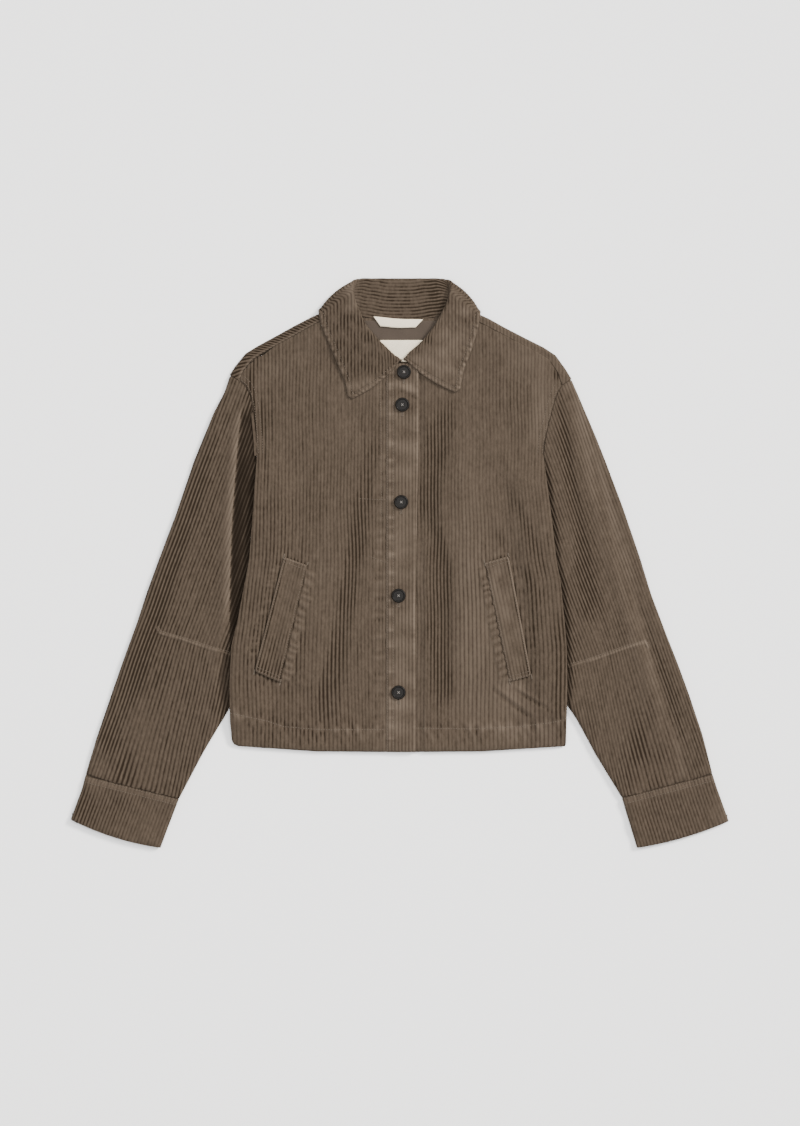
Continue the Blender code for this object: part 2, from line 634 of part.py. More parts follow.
def button(name, centre, base):
    """Four-hole button: a turned rim round a dished middle."""
    profile = [(6.6, 0.0), (9.0, 0.9), (BUTTON_RADIUS, 2.0), (8.5, 3.3), (7.4, BUTTON_THICK), (6.0, 2.4)]
    middle = Vector((centre.x, centre.y, base))
    data = bmesh.new()
    rings = []
    for radius, height in profile:
        ring = []
        for i in range(BUTTON_SIDES):
            angle = 2 * math.pi * i / BUTTON_SIDES
            spot = Vector((radius * math.cos(angle), radius * math.sin(angle), height))
            ring.append(data.verts.new((middle + spot) * MM))
        rings.append(ring)
    for low, high in zip(rings, rings[1:]):
        for i in range(BUTTON_SIDES):
            after = (i + 1) % BUTTON_SIDES
            data.faces.new([low[i], low[after], high[after], high[i]])
    data.faces.new(list(reversed(rings[0])))
    data.faces.new(rings[-1])
    piece = finish(name, data, HORN_COLOUR, 0.35)
    holes = bmesh.new()
    for x_sign in (-1, 1):
        for y_sign in (-1, 1):
            spot = (middle + Vector((x_sign * HOLE_SPACING, y_sign * HOLE_SPACING, 1.5))) * MM
            rim = bmesh.ops.create_cone(holes, cap_ends=True, segments=8, radius1=HOLE_RADIUS * MM,
                                        radius2=HOLE_RADIUS * MM, depth=6.0 * MM)
            bmesh.ops.translate(holes, verts=rim["verts"], vec=spot)
    cutter = finish(name + "_holes", holes, HORN_COLOUR, 0.35)
    cutter.hide_render = True
    cutter.display_type = "WIRE"
    cut = piece.modifiers.new("thread holes", "BOOLEAN")
    cut.operation = "DIFFERENCE"
    cut.object = cutter


def build():
    for old in list(bpy.data.objects):
        bpy.data.objects.remove(old, do_unlink=True)
    right_columns = [0.0, 0.02, 0.05, 0.14, 0.25, 0.37, 0.5, 0.63, 0.76, 0.88, 1.0]
    left_columns = [0.0, 0.018, 0.044, 0.17, 0.3, 0.42, 0.53, 0.63, 0.765, 0.81, 1.0]
    back = back_panel()
    front_right = front_panel("front_right", -1, right_columns)
    front_left = front_panel("front_left", 1, left_columns)
    band = placket()
    for side, word in ((-1, "right"), (1, "left")):
        sleeve("sleeve_" + word, side)
        cuff("cuff_" + word, side)
    collar()
    neck_pieces(back)
    welt("welt_right", front_right)
    welt("welt_left", front_left)
    on_band = height_on(band)
    for number, centre in enumerate(BUTTONS, 1):
        base = max(on_band(centre.x + dx, centre.y + dy) for dx in (-6, 0, 6) for dy in (-6, 0, 6))
        button("button_%d" % number, centre, base + SEAM)


build()
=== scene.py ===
"""Corduroy overshirt: the fine cloth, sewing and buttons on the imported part's frame.

An add-on laid out to run as a script.  Its tables are in millimetres: X runs across
the garment (the wearer's right side is at -X), Y from the hem to the collar and Z is
up from the floor that it lies on.
"""

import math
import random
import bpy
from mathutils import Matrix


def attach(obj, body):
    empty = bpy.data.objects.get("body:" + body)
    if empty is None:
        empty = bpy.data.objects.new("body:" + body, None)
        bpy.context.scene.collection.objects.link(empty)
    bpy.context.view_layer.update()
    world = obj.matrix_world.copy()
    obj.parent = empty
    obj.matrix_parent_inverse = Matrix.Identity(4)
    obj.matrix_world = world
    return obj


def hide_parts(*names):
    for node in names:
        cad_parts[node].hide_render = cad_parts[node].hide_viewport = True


bl_info = {
    "name": "Corduroy overshirt",
    "version": (1, 0, 0),
    "blender": (4, 5, 0),
    "location": "3D View > Sidebar > Overshirt",
    "description": "Builds the cloth, stitching, buttons and stage of a corduroy overshirt",
    "category": "Add Mesh",
}

from collections import namedtuple

import bpy
import numpy as np
from bpy.props import FloatProperty, FloatVectorProperty, PointerProperty
from mathutils import Vector
from mathutils.bvhtree import BVHTree

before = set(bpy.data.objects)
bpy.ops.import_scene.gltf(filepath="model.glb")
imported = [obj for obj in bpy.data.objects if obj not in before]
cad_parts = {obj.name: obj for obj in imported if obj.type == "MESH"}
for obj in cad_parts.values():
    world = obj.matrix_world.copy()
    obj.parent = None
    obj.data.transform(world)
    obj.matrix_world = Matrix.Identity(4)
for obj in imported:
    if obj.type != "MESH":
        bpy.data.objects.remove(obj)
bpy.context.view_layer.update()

MM = 0.001

# Sizes
LAYER = 1.8            # one layer of corduroy
SEAM = 0.35            # gap at a seam
BODY_HEIGHT = 7.0      # top of the front above the floor
EDGE_ROUND = 10.0      # soft edge at the side seams
FOLD_RADIUS = 3.0      # half height of a flattened fold
TUCK_LIFT = 5.0        # how far the sleeves lift the body's sides
TUCK_TOP = 4.5         # top of a sleeve under the body
TUCK_FULL = 30.0       # the body is fully lifted this far in from its sides
TUCK_END = 62.0        # and no longer lifted here
FALL_LIFT = 2.95       # how far the collar's fall lifts the back of the neck
ARMPIT_Y = 143.0
PLACKET_LEFT = -18.0
PLACKET_TOP = 265.5
PLACKET_PROUD = 1.3    # how far the placket stands above the fronts
PLACKET_ROWS = (1.6, 9.6)    # its stitching, from its left edge
COLLAR_ROW = 6.5       # the collar's stitching, from its edge
UNDERLAP_DIP = 2.2     # how far the left front dips below it,
UNDERLAP_FROM = 36.0   # from here
UNDERLAP_TO = 27.0     # to here
ROLL_RADIUS = 3.5      # of the collar's fold

BUTTON_RADIUS = 8.0    # to the middle of the rim
RIM_RADIUS = 1.35
BUTTONS = [(5.7, 254.0), (3.5, 210.5), (2.0, 80.9), (-1.5, -43.5), (-1.5, -172.2)]
BUTTONHOLE = (-14.5, 9.0)    # from below its button to above it
HOLE_RADIUS = 0.9
HOLE_SPACING = 1.6     # from the button's middle, across and up
BAR_RADIUS = 0.42      # of the thread between the holes

Edge = namedtuple("Edge", "y left right")
SIDE_EDGES = [
    Edge(-245, -212.0, 219.5), Edge(-243, -218.5, 221.0), Edge(-240.5, -221.5, 221.3),
    Edge(-236, -223.5, 221.5), Edge(-209, -225.8, 222.0), Edge(-160, -226.5, 223.0),
    Edge(-110, -224.0, 222.0), Edge(-75, -215.5, 219.0), Edge(-25, -206.0, 214.0),
    Edge(4, -200.5, 208.5), Edge(57, -196.0, 202.6), Edge(107, -193.0, 196.0),
    Edge(143, -190.0, 191.5),
]
ARMHOLE = {
    -1: [(-190, 143), (-191, 162), (-192.5, 180), (-194, 196), (-196, 211), (-199.5, 224),
         (-205, 235.5), (-214, 243)],
    1: [(191.5, 143), (193, 161), (196, 177), (199.6, 191), (203, 204.5), (206.5, 217.5),
        (211, 229), (217, 237.5)],
}
Shoulder = namedtuple("Shoulder", "seam_x seam_y edge_x edge_y")
SHOULDERS = {
    -1: [Shoulder(-214, 243, -225.3, 250.5), Shoulder(-208, 257, -219, 260.5),
         Shoulder(-196, 271.5, -204.5, 278.5), Shoulder(-184.5, 279, -190, 287.5),
         Shoulder(-163, 291, -168, 299.5), Shoulder(-134, 307, -139, 315.5),
         Shoulder(-112, 319, -117, 326.5), Shoulder(-89, 330, -93, 336.5)],
    1: [Shoulder(217, 237.5, 227.8, 245.4), Shoulder(211, 254, 220, 258),
        Shoulder(199, 271, 207, 276), Shoulder(187, 279, 191, 286.5),
        Shoulder(165, 290.5, 169, 297.5), Shoulder(135, 306, 139, 313),
        Shoulder(112, 318, 117, 325), Shoulder(89, 329, 93, 335.5)],
}
NECK_EDGES = {
    -1: [(-87, 329.5), (-71, 315), (-54, 297), (-34, 277), (-18.4, 258)],
    1: [(87, 328.5), (71, 314), (53, 295), (29, 272), (-14, 256)],
}
FRONT_EDGES = {-1: -18.4, 1: -14.0}
BACK_NECK = [(-70, 331), (-45, 326), (-15, 323.5), (15, 323.5), (45, 326), (70, 331)]

Fold = namedtuple("Fold", "y x depth width")
FRONT_FOLDS = [
    # soft trough beside the placket on the left front, and the ridge that it leaves
    [Fold(205, 62, 0.5, 15), Fold(182, 57, 2.2, 15), Fold(114, 41, 2.6, 13),
     Fold(53, 39, 2.6, 13), Fold(-8, 56, 2.6, 14), Fold(-110, 56, 2.4, 14),
     Fold(-172, 59, 1.6, 14), Fold(-215, 60, 0.2, 14)],
    [Fold(190, 88, -0.4, 22), Fold(53, 90, -1.8, 24), Fold(-110, 94, -1.6, 24),
     Fold(-205, 92, -0.3, 24)],
    # slanting trough on the right front, and the ridge between it and the pocket
    [Fold(190, -28, 0.1, 10), Fold(151, -34, 0.5, 11), Fold(53, -54, 0.9, 12),
     Fold(6, -62, 1.0, 12), Fold(-110, -84, 1.1, 13), Fold(-172, -97, 0.9, 14),
     Fold(-210, -101, 0.2, 14)],
    [Fold(120, -74, -0.4, 20), Fold(6, -96, -1.2, 20), Fold(-150, -124, -1.0, 20)],
]


# Numbers

def ease(start, end, value):
    """From 0 at start to 1 at end, with soft ends."""
    amount = np.clip((value - start) / (end - start), 0.0, 1.0)
    return amount * amount * (3.0 - 2.0 * amount)


def mix(first, second, amount):
    """Between two values, from the first at 0 to the second at 1."""
    return first + (second - first) * amount


def hump(distance, width):
    """1 at no distance, falling softly to nothing over about twice the width."""
    return np.exp(-(distance / width) ** 2)


def column(table, name):
    """One column of a table, as an array."""
    return np.array([getattr(row, name) for row in table], float)


def read(table, key, name, value):
    """A column of a table, read between its rows."""
    keys = column(table, key)
    order = np.argsort(keys)
    return np.interp(value, keys[order], column(table, name)[order])


def drift(seed, size, x, y=0.0):
    """Soft unevenness between about -1 and 1, changing over about size."""
    pick = random.Random(seed)
    total = 0.0
    for _ in range(6):
        angle = pick.uniform(0.0, 2 * math.pi)
        wave = 2 * math.pi / size * pick.uniform(0.5, 1.5)
        way = math.cos(angle) * x + math.sin(angle) * y
        total = total + np.sin(wave * way + pick.uniform(0.0, 6.28))
    return total / 2.6


def nearest(path, x, y):
    """Distance from a broken line, length along it, and the side (positive on its left)."""
    best = np.full(np.shape(x), 1e9)
    where, side = np.zeros(np.shape(x)), np.zeros(np.shape(x))
    run = 0.0
    for (ax, ay), (bx, by) in zip(path, path[1:]):
        dx, dy = bx - ax, by - ay
        length = math.hypot(dx, dy)
        share = np.clip(((x - ax) * dx + (y - ay) * dy) / length ** 2, 0.0, 1.0)
        gap = np.hypot(x - ax - share * dx, y - ay - share * dy)
        closer = gap < best
        best = np.where(closer, gap, best)
        where = np.where(closer, run + share * length, where)
        side = np.where(closer, np.sign(dx * (y - ay) - dy * (x - ax)), side)
        run += length
    return best, where, side


def depth_inside(outline, x, y):
    """Distance in from a closed outline, negative outside it."""
    loop = list(outline) + [outline[0]]
    inside = np.zeros(np.shape(x), bool)
    for (ax, ay), (bx, by) in zip(loop, loop[1:]):
        if ay != by:
            crosses = (ay > y) != (by > y)
            inside ^= crosses & (x < ax + (y - ay) * (bx - ax) / (by - ay))
    return np.where(inside, 1.0, -1.0) * nearest(loop, x, y)[0]


def along(path, spacing, start=0.0, end=0.0):
    """Points and directions at even steps along a broken line; end is counted back from its end."""
    path = np.asarray(path, float)
    steps = np.linalg.norm(np.diff(path, axis=0), axis=1)
    lengths = np.concatenate([[0.0], np.cumsum(steps)])
    end = lengths[-1] + end
    count = max(2, int(round((end - start) / spacing)) + 1)
    at = np.linspace(start, end, count)
    points = np.stack([np.interp(at, lengths, path[:, k]) for k in range(path.shape[1])], 1)
    ways = np.gradient(points, axis=0)
    return points, ways / np.linalg.norm(ways, axis=1, keepdims=True)


def curve_through(points, steps):
    """A smooth line through points (Catmull-Rom)."""
    points = np.asarray(points, float)
    padded = np.concatenate([points[:1], points, points[-1:]])
    result = []
    for a, b, c, d in zip(padded, padded[1:], padded[2:], padded[3:]):
        for t in np.arange(steps) / steps:
            result.append(0.5 * (2 * b + (c - a) * t + (2 * a - 5 * b + 4 * c - d) * t ** 2
                                 + (3 * b - a - 3 * c + d) * t ** 3))
    result.append(points[-1])
    return np.array(result)


# The garment's heights, as in the part

def side_x(side, y):
    """Where the side seam is at a height."""
    return read(SIDE_EDGES, "y", "left" if side < 0 else "right", y)


def inset(x, y):
    """How far in from the nearer side seam."""
    return np.where(x < 0, x - side_x(-1, y), side_x(1, y) - x)


def lift(x, y):
    """How far the body is lifted by the sleeves under its sides and the fall under its neck."""
    tuck = (1.0 - ease(TUCK_FULL, TUCK_END, inset(x, y))) * ease(ARMPIT_Y, ARMPIT_Y - 44, y)
    neck = ease(268, 296, y) * (1.0 - ease(112, 150, np.abs(x)))
    return TUCK_LIFT * tuck * ease(-242, -200, y) + FALL_LIFT * neck


def edge_share(x, y):
    """How round the soft edge of the sides is: 1 at the seam, 0 from EDGE_ROUND inwards."""
    share = np.maximum(0.0, 1.0 - np.maximum(0.0, inset(x, y)) / EDGE_ROUND) ** 2
    return share * ease(ARMPIT_Y, ARMPIT_Y - 25, y)


def folds(table, x, y):
    """Sum of soft troughs (positive depth) and ridges (negative)."""
    total = 0.0
    for fold in table:
        ys = column(fold, "y")
        fade = ease(ys.min() - 25, ys.min(), y) * ease(ys.max() + 25, ys.max(), y)
        reach = (x - read(fold, "y", "x", y)) / read(fold, "y", "width", y)
        total = total - read(fold, "y", "depth", y) * np.exp(-reach * reach) * fade
    return total


EDGE_DROP = BODY_HEIGHT / 2 - SEAM / 2 - LAYER


def front_top(x, y):
    """Height of the fronts' upper face."""
    return lift(x, y) + BODY_HEIGHT + folds(FRONT_FOLDS, x, y) - EDGE_DROP * edge_share(x, y)


def back_under(x, y):
    """Height of the back's underside."""
    return lift(x, y) + EDGE_DROP * edge_share(x, y)


# Cloth

PITCH = 4.6            # from wale to wale
PER_WALE = 5           # columns of points in each wale


# finished flat size in metres, area in square metres where it is known, and what it lies on
Sheet = namedtuple("Sheet", "flat area rests_on")


def wale_profile(phase):
    """Height of a wale from 0 in its groove, at whole phases, to 1 on its crown."""
    return np.abs(np.sin(math.pi * phase)) ** 0.7


def clipped(plan, outline):
    """Rows of plan points cut off at an outline, and the column that stands for each point."""
    depth = depth_inside(outline, plan[..., 0], plan[..., 1])
    rows, stands = [], []
    for row, gap in zip(plan, depth):
        within = np.flatnonzero(gap > -0.02)
        if len(within) < 2:
            continue
        row = row.copy()
        first, last = within[0], within[-1]
        for end, step in ((first, -1), (last, 1)):
            beyond = end + step
            if 0 <= beyond < len(row):
                share = gap[end] / max(gap[end] - gap[beyond], 1e-6)
                edge = row[end] + max(0.0, share) * (row[beyond] - row[end])
                if share < 0.25:
                    row[end] = edge
                else:
                    row[beyond] = edge
                    end = beyond
            if step < 0:
                first = end
                row[:end] = row[end]
            else:
                last = end
                row[end + 1:] = row[end]
        rows.append(row)
        stands.append(np.clip(np.arange(len(row)), first, last))
    return np.array(rows), np.array(stands)


def normals_of(points):
    """Unit normals of a grid of points."""
    across = np.gradient(points, axis=1)
    up = np.gradient(points, axis=0)
    normal = np.cross(across, up)
    length = np.linalg.norm(normal, axis=2, keepdims=True)
    return normal / np.maximum(length, 1e-9)


class Cloth:
    """A piece of cloth, put together from grids of points."""

    def __init__(self, name):
        self.name = name
        self.points, self.phase, self.tone, self.brushed, self.faces = [], [], [], [], []
        self.count = 0

    def add(self, points, phase, tone=0.0, stands=None, wrap=False, flip=False, brushed=0.0):
        """A grid of points.

        Its tone is positive where rubbed wear and painted highlights make it lighter and negative
        where shade is painted into folds and recesses, and it is brushed where its wales are
        flattened.
        """
        rows, cols = points.shape[:2]
        number = self.count + np.arange(rows * cols).reshape(rows, cols)
        if stands is not None:
            number = np.take_along_axis(number, stands, axis=1)
        self.points.append(points.reshape(-1, 3))
        for layer, value in ((self.phase, phase), (self.tone, tone), (self.brushed, brushed)):
            layer.append(np.broadcast_to(value, (rows, cols)).reshape(-1))
        self.count += rows * cols
        ring = np.concatenate([number, number[:, :1]], axis=1) if wrap else number
        quads = np.stack([ring[:-1, :-1], ring[:-1, 1:], ring[1:, 1:], ring[1:, :-1]], axis=-1)
        quads = quads.reshape(-1, 4)
        if flip:
            quads = quads[:, ::-1]
        for quad in quads.tolist():
            corners = list(dict.fromkeys(quad))
            if len(corners) > 2:
                self.faces.append(corners)

    def rim(self, steps, lowest=0.1, faces_from=0, up=1.0):
        """Carries open edges on, in (inward, down) steps, as a turned edge's thickness."""
        uses = {}
        for face in self.faces[faces_from:]:
            for start, end in zip(face, face[1:] + face[:1]):
                if (end, start) in uses:
                    del uses[(end, start)]
                else:
                    uses[(start, end)] = True
        points = np.concatenate(self.points)
        layers = (self.phase, self.tone, self.brushed)
        values = [np.concatenate(layer) for layer in layers]
        inward = {}
        for start, end in uses:
            way = points[end] - points[start]
            left = np.array([-way[1], way[0], 0.0]) * up
            for corner in (start, end):
                inward[corner] = inward.get(corner, 0.0) + left
        corners = list(inward)
        ways = np.array([inward[c] for c in corners])
        ways /= np.maximum(np.linalg.norm(ways, axis=1, keepdims=True), 1e-9)
        before = {corner: corner for corner in corners}
        for inward_by, down in steps:
            spots = points[corners] + ways * inward_by
            spots[:, 2] = np.maximum(spots[:, 2] - down * up, lowest)
            number = {corner: self.count + i for i, corner in enumerate(corners)}
            self.points.append(spots)
            for layer, value in zip(layers, values):
                layer.append(value[corners])
            self.count += len(corners)
            for start, end in uses:
                self.faces.append([before[end], before[start], number[start], number[end]])
            before = number

    def finish(self, material, slot="corduroy"):
        """The mesh and its attributes, joined to the root, with the part that it stands for hidden.
        """
        used = sorted({corner for face in self.faces for corner in face})
        renumber = {old: new for new, old in enumerate(used)}
        points = np.concatenate(self.points)[used] * MM
        mesh = bpy.data.meshes.new(self.name + "_cloth")
        mesh.from_pydata(points.tolist(), [], [[renumber[c] for c in face] for face in self.faces])
        for name, values in (("phase", self.phase), ("tone", self.tone), ("brushed", self.brushed)):
            layer = mesh.attributes.new(name, "FLOAT", "POINT")
            layer.data.foreach_set("value", np.concatenate(values)[used].astype(np.float32))
        mesh.shade_smooth()
        mesh.materials.append(material)
        piece = bpy.data.objects.new(self.name + "_cloth", mesh)
        bpy.context.collection.objects.link(piece)
        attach(piece, "root")
        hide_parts(self.name)


# Materials

class Shade:
    """A value in a material's node tree; arithmetic on it adds nodes."""

    def __init__(self, tree, socket):
        self.tree, self.socket = tree, socket

    def _math(self, operation, *items):
        node = self.tree.nodes.new("ShaderNodeMath")
        node.operation = operation
        for place, item in zip(node.inputs, items):
            if isinstance(item, Shade):
                self.tree.links.new(item.socket, place)
            else:
                place.default_value = item
        return Shade(self.tree, node.outputs[0])

    def __add__(self, other):
        return self._math("ADD", self, other)

    def __sub__(self, other):
        return self._math("SUBTRACT", self, other)

    def __rsub__(self, other):
        return self._math("SUBTRACT", other, self)

    def __mul__(self, other):
        return self._math("MULTIPLY", self, other)

    def __pow__(self, other):
        return self._math("POWER", self, other)

    def __neg__(self):
        return self._math("MULTIPLY", self, -1.0)

    def sine(self):
        """Its sine."""
        return self._math("SINE", self)

    def absolute(self):
        """Its absolute value."""
        return self._math("ABSOLUTE", self)

    def within(self, low=0.0, high=1.0):
        """The value kept between two limits."""
        return self._math("MINIMUM", self._math("MAXIMUM", self, low), high)

    __radd__ = __add__
    __rmul__ = __mul__


class Look:
    """A material under construction."""

    def __init__(self, name, roughness, sheen=0.0, gloss=0.1):
        self.material = bpy.data.materials.new(name)
        self.material.use_nodes = True
        self.tree = self.material.node_tree
        self.shader = self.tree.nodes["Principled BSDF"]
        self.shader.inputs["Roughness"].default_value = roughness
        self.shader.inputs["Sheen Weight"].default_value = sheen
        self.shader.inputs["Sheen Roughness"].default_value = 0.45
        self.shader.inputs["Sheen Tint"].default_value = (0.5, 0.4, 0.31, 1.0)
        self.shader.inputs["Specular IOR Level"].default_value = gloss

    def node(self, kind, output, settings=None, **inputs):
        """A node's output; settings are its properties, inputs its sockets by name."""
        node = self.tree.nodes.new(kind)
        for name, value in (settings or {}).items():
            setattr(node, name, value)
        for name, value in inputs.items():
            place = node.inputs[name.replace("_", " ")]
            if isinstance(value, Shade):
                self.tree.links.new(value.socket, place)
            else:
                place.default_value = value
        return Shade(self.tree, node.outputs[output])

    def attribute(self, name):
        """A value stored at the cloth's points."""
        return self.node("ShaderNodeAttribute", "Fac", {"attribute_name": name})

    def place(self, stretch=(1.0, 1.0, 1.0)):
        """Object coordinates in metres, scaled along each axis."""
        at = self.node("ShaderNodeTexCoord", "Object")
        node = self.tree.nodes.new("ShaderNodeVectorMath")
        node.operation = "MULTIPLY"
        self.tree.links.new(at.socket, node.inputs[0])
        node.inputs[1].default_value = stretch
        return Shade(self.tree, node.outputs[0])

    def noise(self, size, detail=2.0, stretch=(1.0, 1.0, 1.0)):
        """Noise from 0 to 1 whose blotches are about size metres across."""
        return self.node("ShaderNodeTexNoise", "Fac", Vector=self.place(stretch), Scale=1.0 / size,
                         Detail=detail, Roughness=0.6)

    def blend(self, amount, first, second):
        """A colour between two, which may be colours or other blends."""
        node = self.tree.nodes.new("ShaderNodeMix")
        node.data_type = "RGBA"
        places = (node.inputs[0], node.inputs[6], node.inputs[7])
        for place, value in zip(places, (amount, first, second)):
            if isinstance(value, Shade):
                self.tree.links.new(value.socket, place)
            elif isinstance(value, float):
                place.default_value = value
            else:
                place.default_value = (*value, 1.0)
        return Shade(self.tree, node.outputs[2])

    def into(self, **sockets):
        """The finished material, with values led into its shader's sockets."""
        for name, value in sockets.items():
            self.tree.links.new(value.socket, self.shader.inputs[name.replace("_", " ")])
        return self.material

    def bump(self, height, distance, strength):
        """A normal roughened by a height."""
        return self.node("ShaderNodeBump", "Normal", Height=height, Distance=distance,
                         Strength=strength)


def scaled(colour, amount):
    """A colour made lighter or darker, by one amount or one for each channel."""
    amounts = amount if isinstance(amount, tuple) else (amount,) * len(colour)
    return tuple(channel * each for channel, each in zip(colour, amounts))


HOLLOW = (0.27, 0.23, 0.18)    # the pile's colour in its grooves, as shares of the body colour
PAINTED_SHADOW = (0.13, 0.10, 0.07)      # painted shadow in the darkest folds and recesses
CROWN = 1.5                    # on its crowns
HIGHLIGHT_AND_WEAR = 1.9                   # and where painted highlights and rubbed wear make it lighter


def corduroy(name, colour):
    """Wide-wale pile.  Painted shade darkens its grooves in the folds and recesses, and painted
    highlights and rubbed wear lighten its crowns.
    """
    look = Look(name, roughness=0.95, sheen=0.12)
    tone, brushed = look.attribute("tone"), look.attribute("brushed")
    # the tone attribute carries painted shade where negative, deepening to painted shadow, and
    # painted highlights and rubbed wear where positive
    painted_shade, highlight_and_wear, deep_shadow = (-tone).within(), tone.within(), (-tone - 0.9).within()
    crown = (look.attribute("phase") * math.pi).sine().absolute() ** (painted_shade * 0.9 + 0.8)
    nap = look.noise(0.0028, 3.0, (1.0, 0.4, 1.0))
    patch = look.noise(0.07, 1.0, (1.0, 0.5, 1.0))
    cloud = look.noise(0.009, 3.0, (1.0, 0.8, 1.0))
    fibre = look.noise(0.0006, 2.0, (1.0, 0.4, 1.0))
    shown = (painted_shade * 1.6 + 0.31 + (patch - 0.5) * 0.9 + highlight_and_wear * 0.35).within(0.08, 1.6)
    shown = shown * (1.0 - brushed)
    pile = 0.66 - (1.0 - crown) * shown + painted_shade * (crown * 0.3 - 0.13) - brushed * 0.08
    pile = (pile + (nap - 0.5) * 0.7 + (cloud - 0.5) * 0.3 + (fibre - 0.5) * 0.4).within()
    highlight_and_wear_colour = tuple(channel + 0.006 for channel in scaled(colour, HIGHLIGHT_AND_WEAR))
    cloth = look.blend(pile, scaled(colour, HOLLOW), scaled(colour, CROWN))
    cloth = look.blend((highlight_and_wear * (crown * 0.7 + 0.3)).within(), cloth, highlight_and_wear_colour)
    cloth = look.blend((deep_shadow * 0.85).within(), cloth, scaled(colour, PAINTED_SHADOW))
    normal = look.bump(crown * 0.3 + nap * 0.5 + fibre * 0.35, 0.0006, 0.7)
    return look.into(Base_Color=cloth, Normal=normal)


def woven(name, colour, thread=0.0008):
    """A smooth plain weave."""
    look = Look(name, roughness=0.85, sheen=0.1)
    at = look.node("ShaderNodeSeparateXYZ", "X", Vector=look.place())
    up = look.node("ShaderNodeSeparateXYZ", "Y", Vector=look.place())
    weave = (at * (math.pi / thread)).sine() * (up * (math.pi / thread)).sine()
    uneven = look.noise(0.012, 3.0)
    tone = (weave * 0.2 + uneven * 0.5 + 0.25).within()
    cloth = look.blend(tone, scaled(colour, 0.78), scaled(colour, 1.12))
    return look.into(Base_Color=cloth, Normal=look.bump(weave + uneven, 0.0002, 0.5))


def horn(name, colour):
    """Dark, softly polished horn with faint streaks."""
    look = Look(name, roughness=0.42, gloss=0.07)
    streak = look.noise(0.004, 4.0, (1.0, 3.0, 1.0))
    grain = look.noise(0.0006, 2.0)
    body = look.blend(streak, scaled(colour, 0.6), scaled(colour, 1.7))
    return look.into(Base_Color=body, Roughness=grain * 0.2 + 0.26,
                     Normal=look.bump(grain, 0.0001, 0.3))


def backdrop(name, colour):
    """Matt white sweep with the faintest unevenness."""
    look = Look(name, roughness=0.9)
    return look.into(Base_Color=look.blend(look.noise(0.4, 2.0), scaled(colour, 0.985), colour))


CORDUROY_COLOUR = (0.0475, 0.0357, 0.0259)
FACING_COLOUR = (0.052, 0.040, 0.031)
TAPE_COLOUR = (0.74, 0.65, 0.50)
THREAD_COLOUR = (0.092, 0.073, 0.056)
BUTTON_THREAD_COLOUR = (0.15, 0.14, 0.13)
HORN_COLOUR = (0.006, 0.0052, 0.0046)


# Fronts

FRONT_CREASES = [
    [Fold(122, 136, 0.1, 9), Fold(97, 143, 0.4, 9), Fold(44, 172, 0.6, 9), Fold(-9, 192, 0.6, 9)],
    [Fold(75, 118, 0.0, 8), Fold(40, 128, 0.3, 8), Fold(0, 152, 0.45, 8), Fold(-40, 186, 0.4, 8)],
    [Fold(214, -183, 0.3, 3.4), Fold(180, -181, 1.2, 3.4), Fold(140, -180, 0.9, 3.4),
     Fold(112, -179, 0.2, 3.4)],
    [Fold(230, -172, 0.2, 4), Fold(185, -172, 0.8, 4), Fold(150, -172, 0.2, 4)],
    # creases that run down from the left pocket
    [Fold(-160, 124, -0.2, 3.6), Fold(-175, 141, -1.5, 3.6), Fold(-190, 162, -1.2, 3.6),
     Fold(-205, 182, -0.2, 3.6)],
    [Fold(-166, 122, 0.2, 3.6), Fold(-182, 139, 1.4, 3.6), Fold(-197, 160, 1.1, 3.6),
     Fold(-208, 176, 0.2, 3.6)],
    [Fold(-160, 148, -0.2, 3.4), Fold(-172, 166, -1.3, 3.4), Fold(-184, 188, -1.0, 3.4),
     Fold(-194, 204, -0.2, 3.4)],
    [Fold(-165, 148, 0.2, 3.4), Fold(-179, 168, 1.1, 3.4), Fold(-191, 190, 0.8, 3.4),
     Fold(-200, 204, 0.2, 3.4)],
]
PLACKET_CREASES = [
    [Fold(243, -14, -0.1, 3.5), Fold(236, 0, -1.0, 3.5), Fold(229, 18, -0.9, 3.5),
     Fold(226, 26, -0.2, 3.5)],
    [Fold(236, -14, 0.1, 3.0), Fold(229, 2, 1.0, 3.0), Fold(222, 18, 0.9, 3.0),
     Fold(218, 26, 0.2, 3.0)],
    [Fold(200, -12, -0.1, 3.0), Fold(196, 4, -0.5, 3.0), Fold(192, 18, -0.5, 3.0),
     Fold(188, 24, -0.1, 3.0)],
]
FAN = {-1: 0.6, 1: 1.0}    # how far the wales spread with the side seams,
FAN_TOP = 107.0            # below this height
RUNG = 10.4                # from pleat to pleat beside a pocket
WELT_LONG = 80.0           # a welt's ends are shorter than this, its sides longer
HEM_STITCH = [(-226, -200), (-215, -202), (-178, -210), (-154, -218), (-105, -222), (-6, -222),
              (22, -220), (99, -221), (160, -218), (197, -213), (224, -208)]
WELTS = {
    "welt_right": [(-193, -144), (-159, -159), (-123, -3), (-154, 8)],
    "welt_left": [(146, -158), (175, -150), (145, 9), (113, 0)],
}


def shoulder_seam(side):
    """Plan of the forward shoulder seam, a seam's gap in front of the folded strip."""
    seam = []
    for row in SHOULDERS[side]:
        out = np.array([row.seam_x - row.edge_x, row.seam_y - row.edge_y])
        seam.append(tuple(np.array([row.seam_x, row.seam_y]) + out / np.hypot(*out) * SEAM))
    return seam


def hem_y(x):
    """The hem, which rises towards the side seams."""
    return np.interp(np.abs(x), (0.0, 110.0, 185.0, 222.0), (-252.0, -251.0, -247.0, -244.0))


def side_line(side):
    """Plan of the side seam and the armhole, from the hem up."""
    sides = [(row.left if side < 0 else row.right, row.y) for row in SIDE_EDGES]
    return sides + ARMHOLE[side][1:-1]


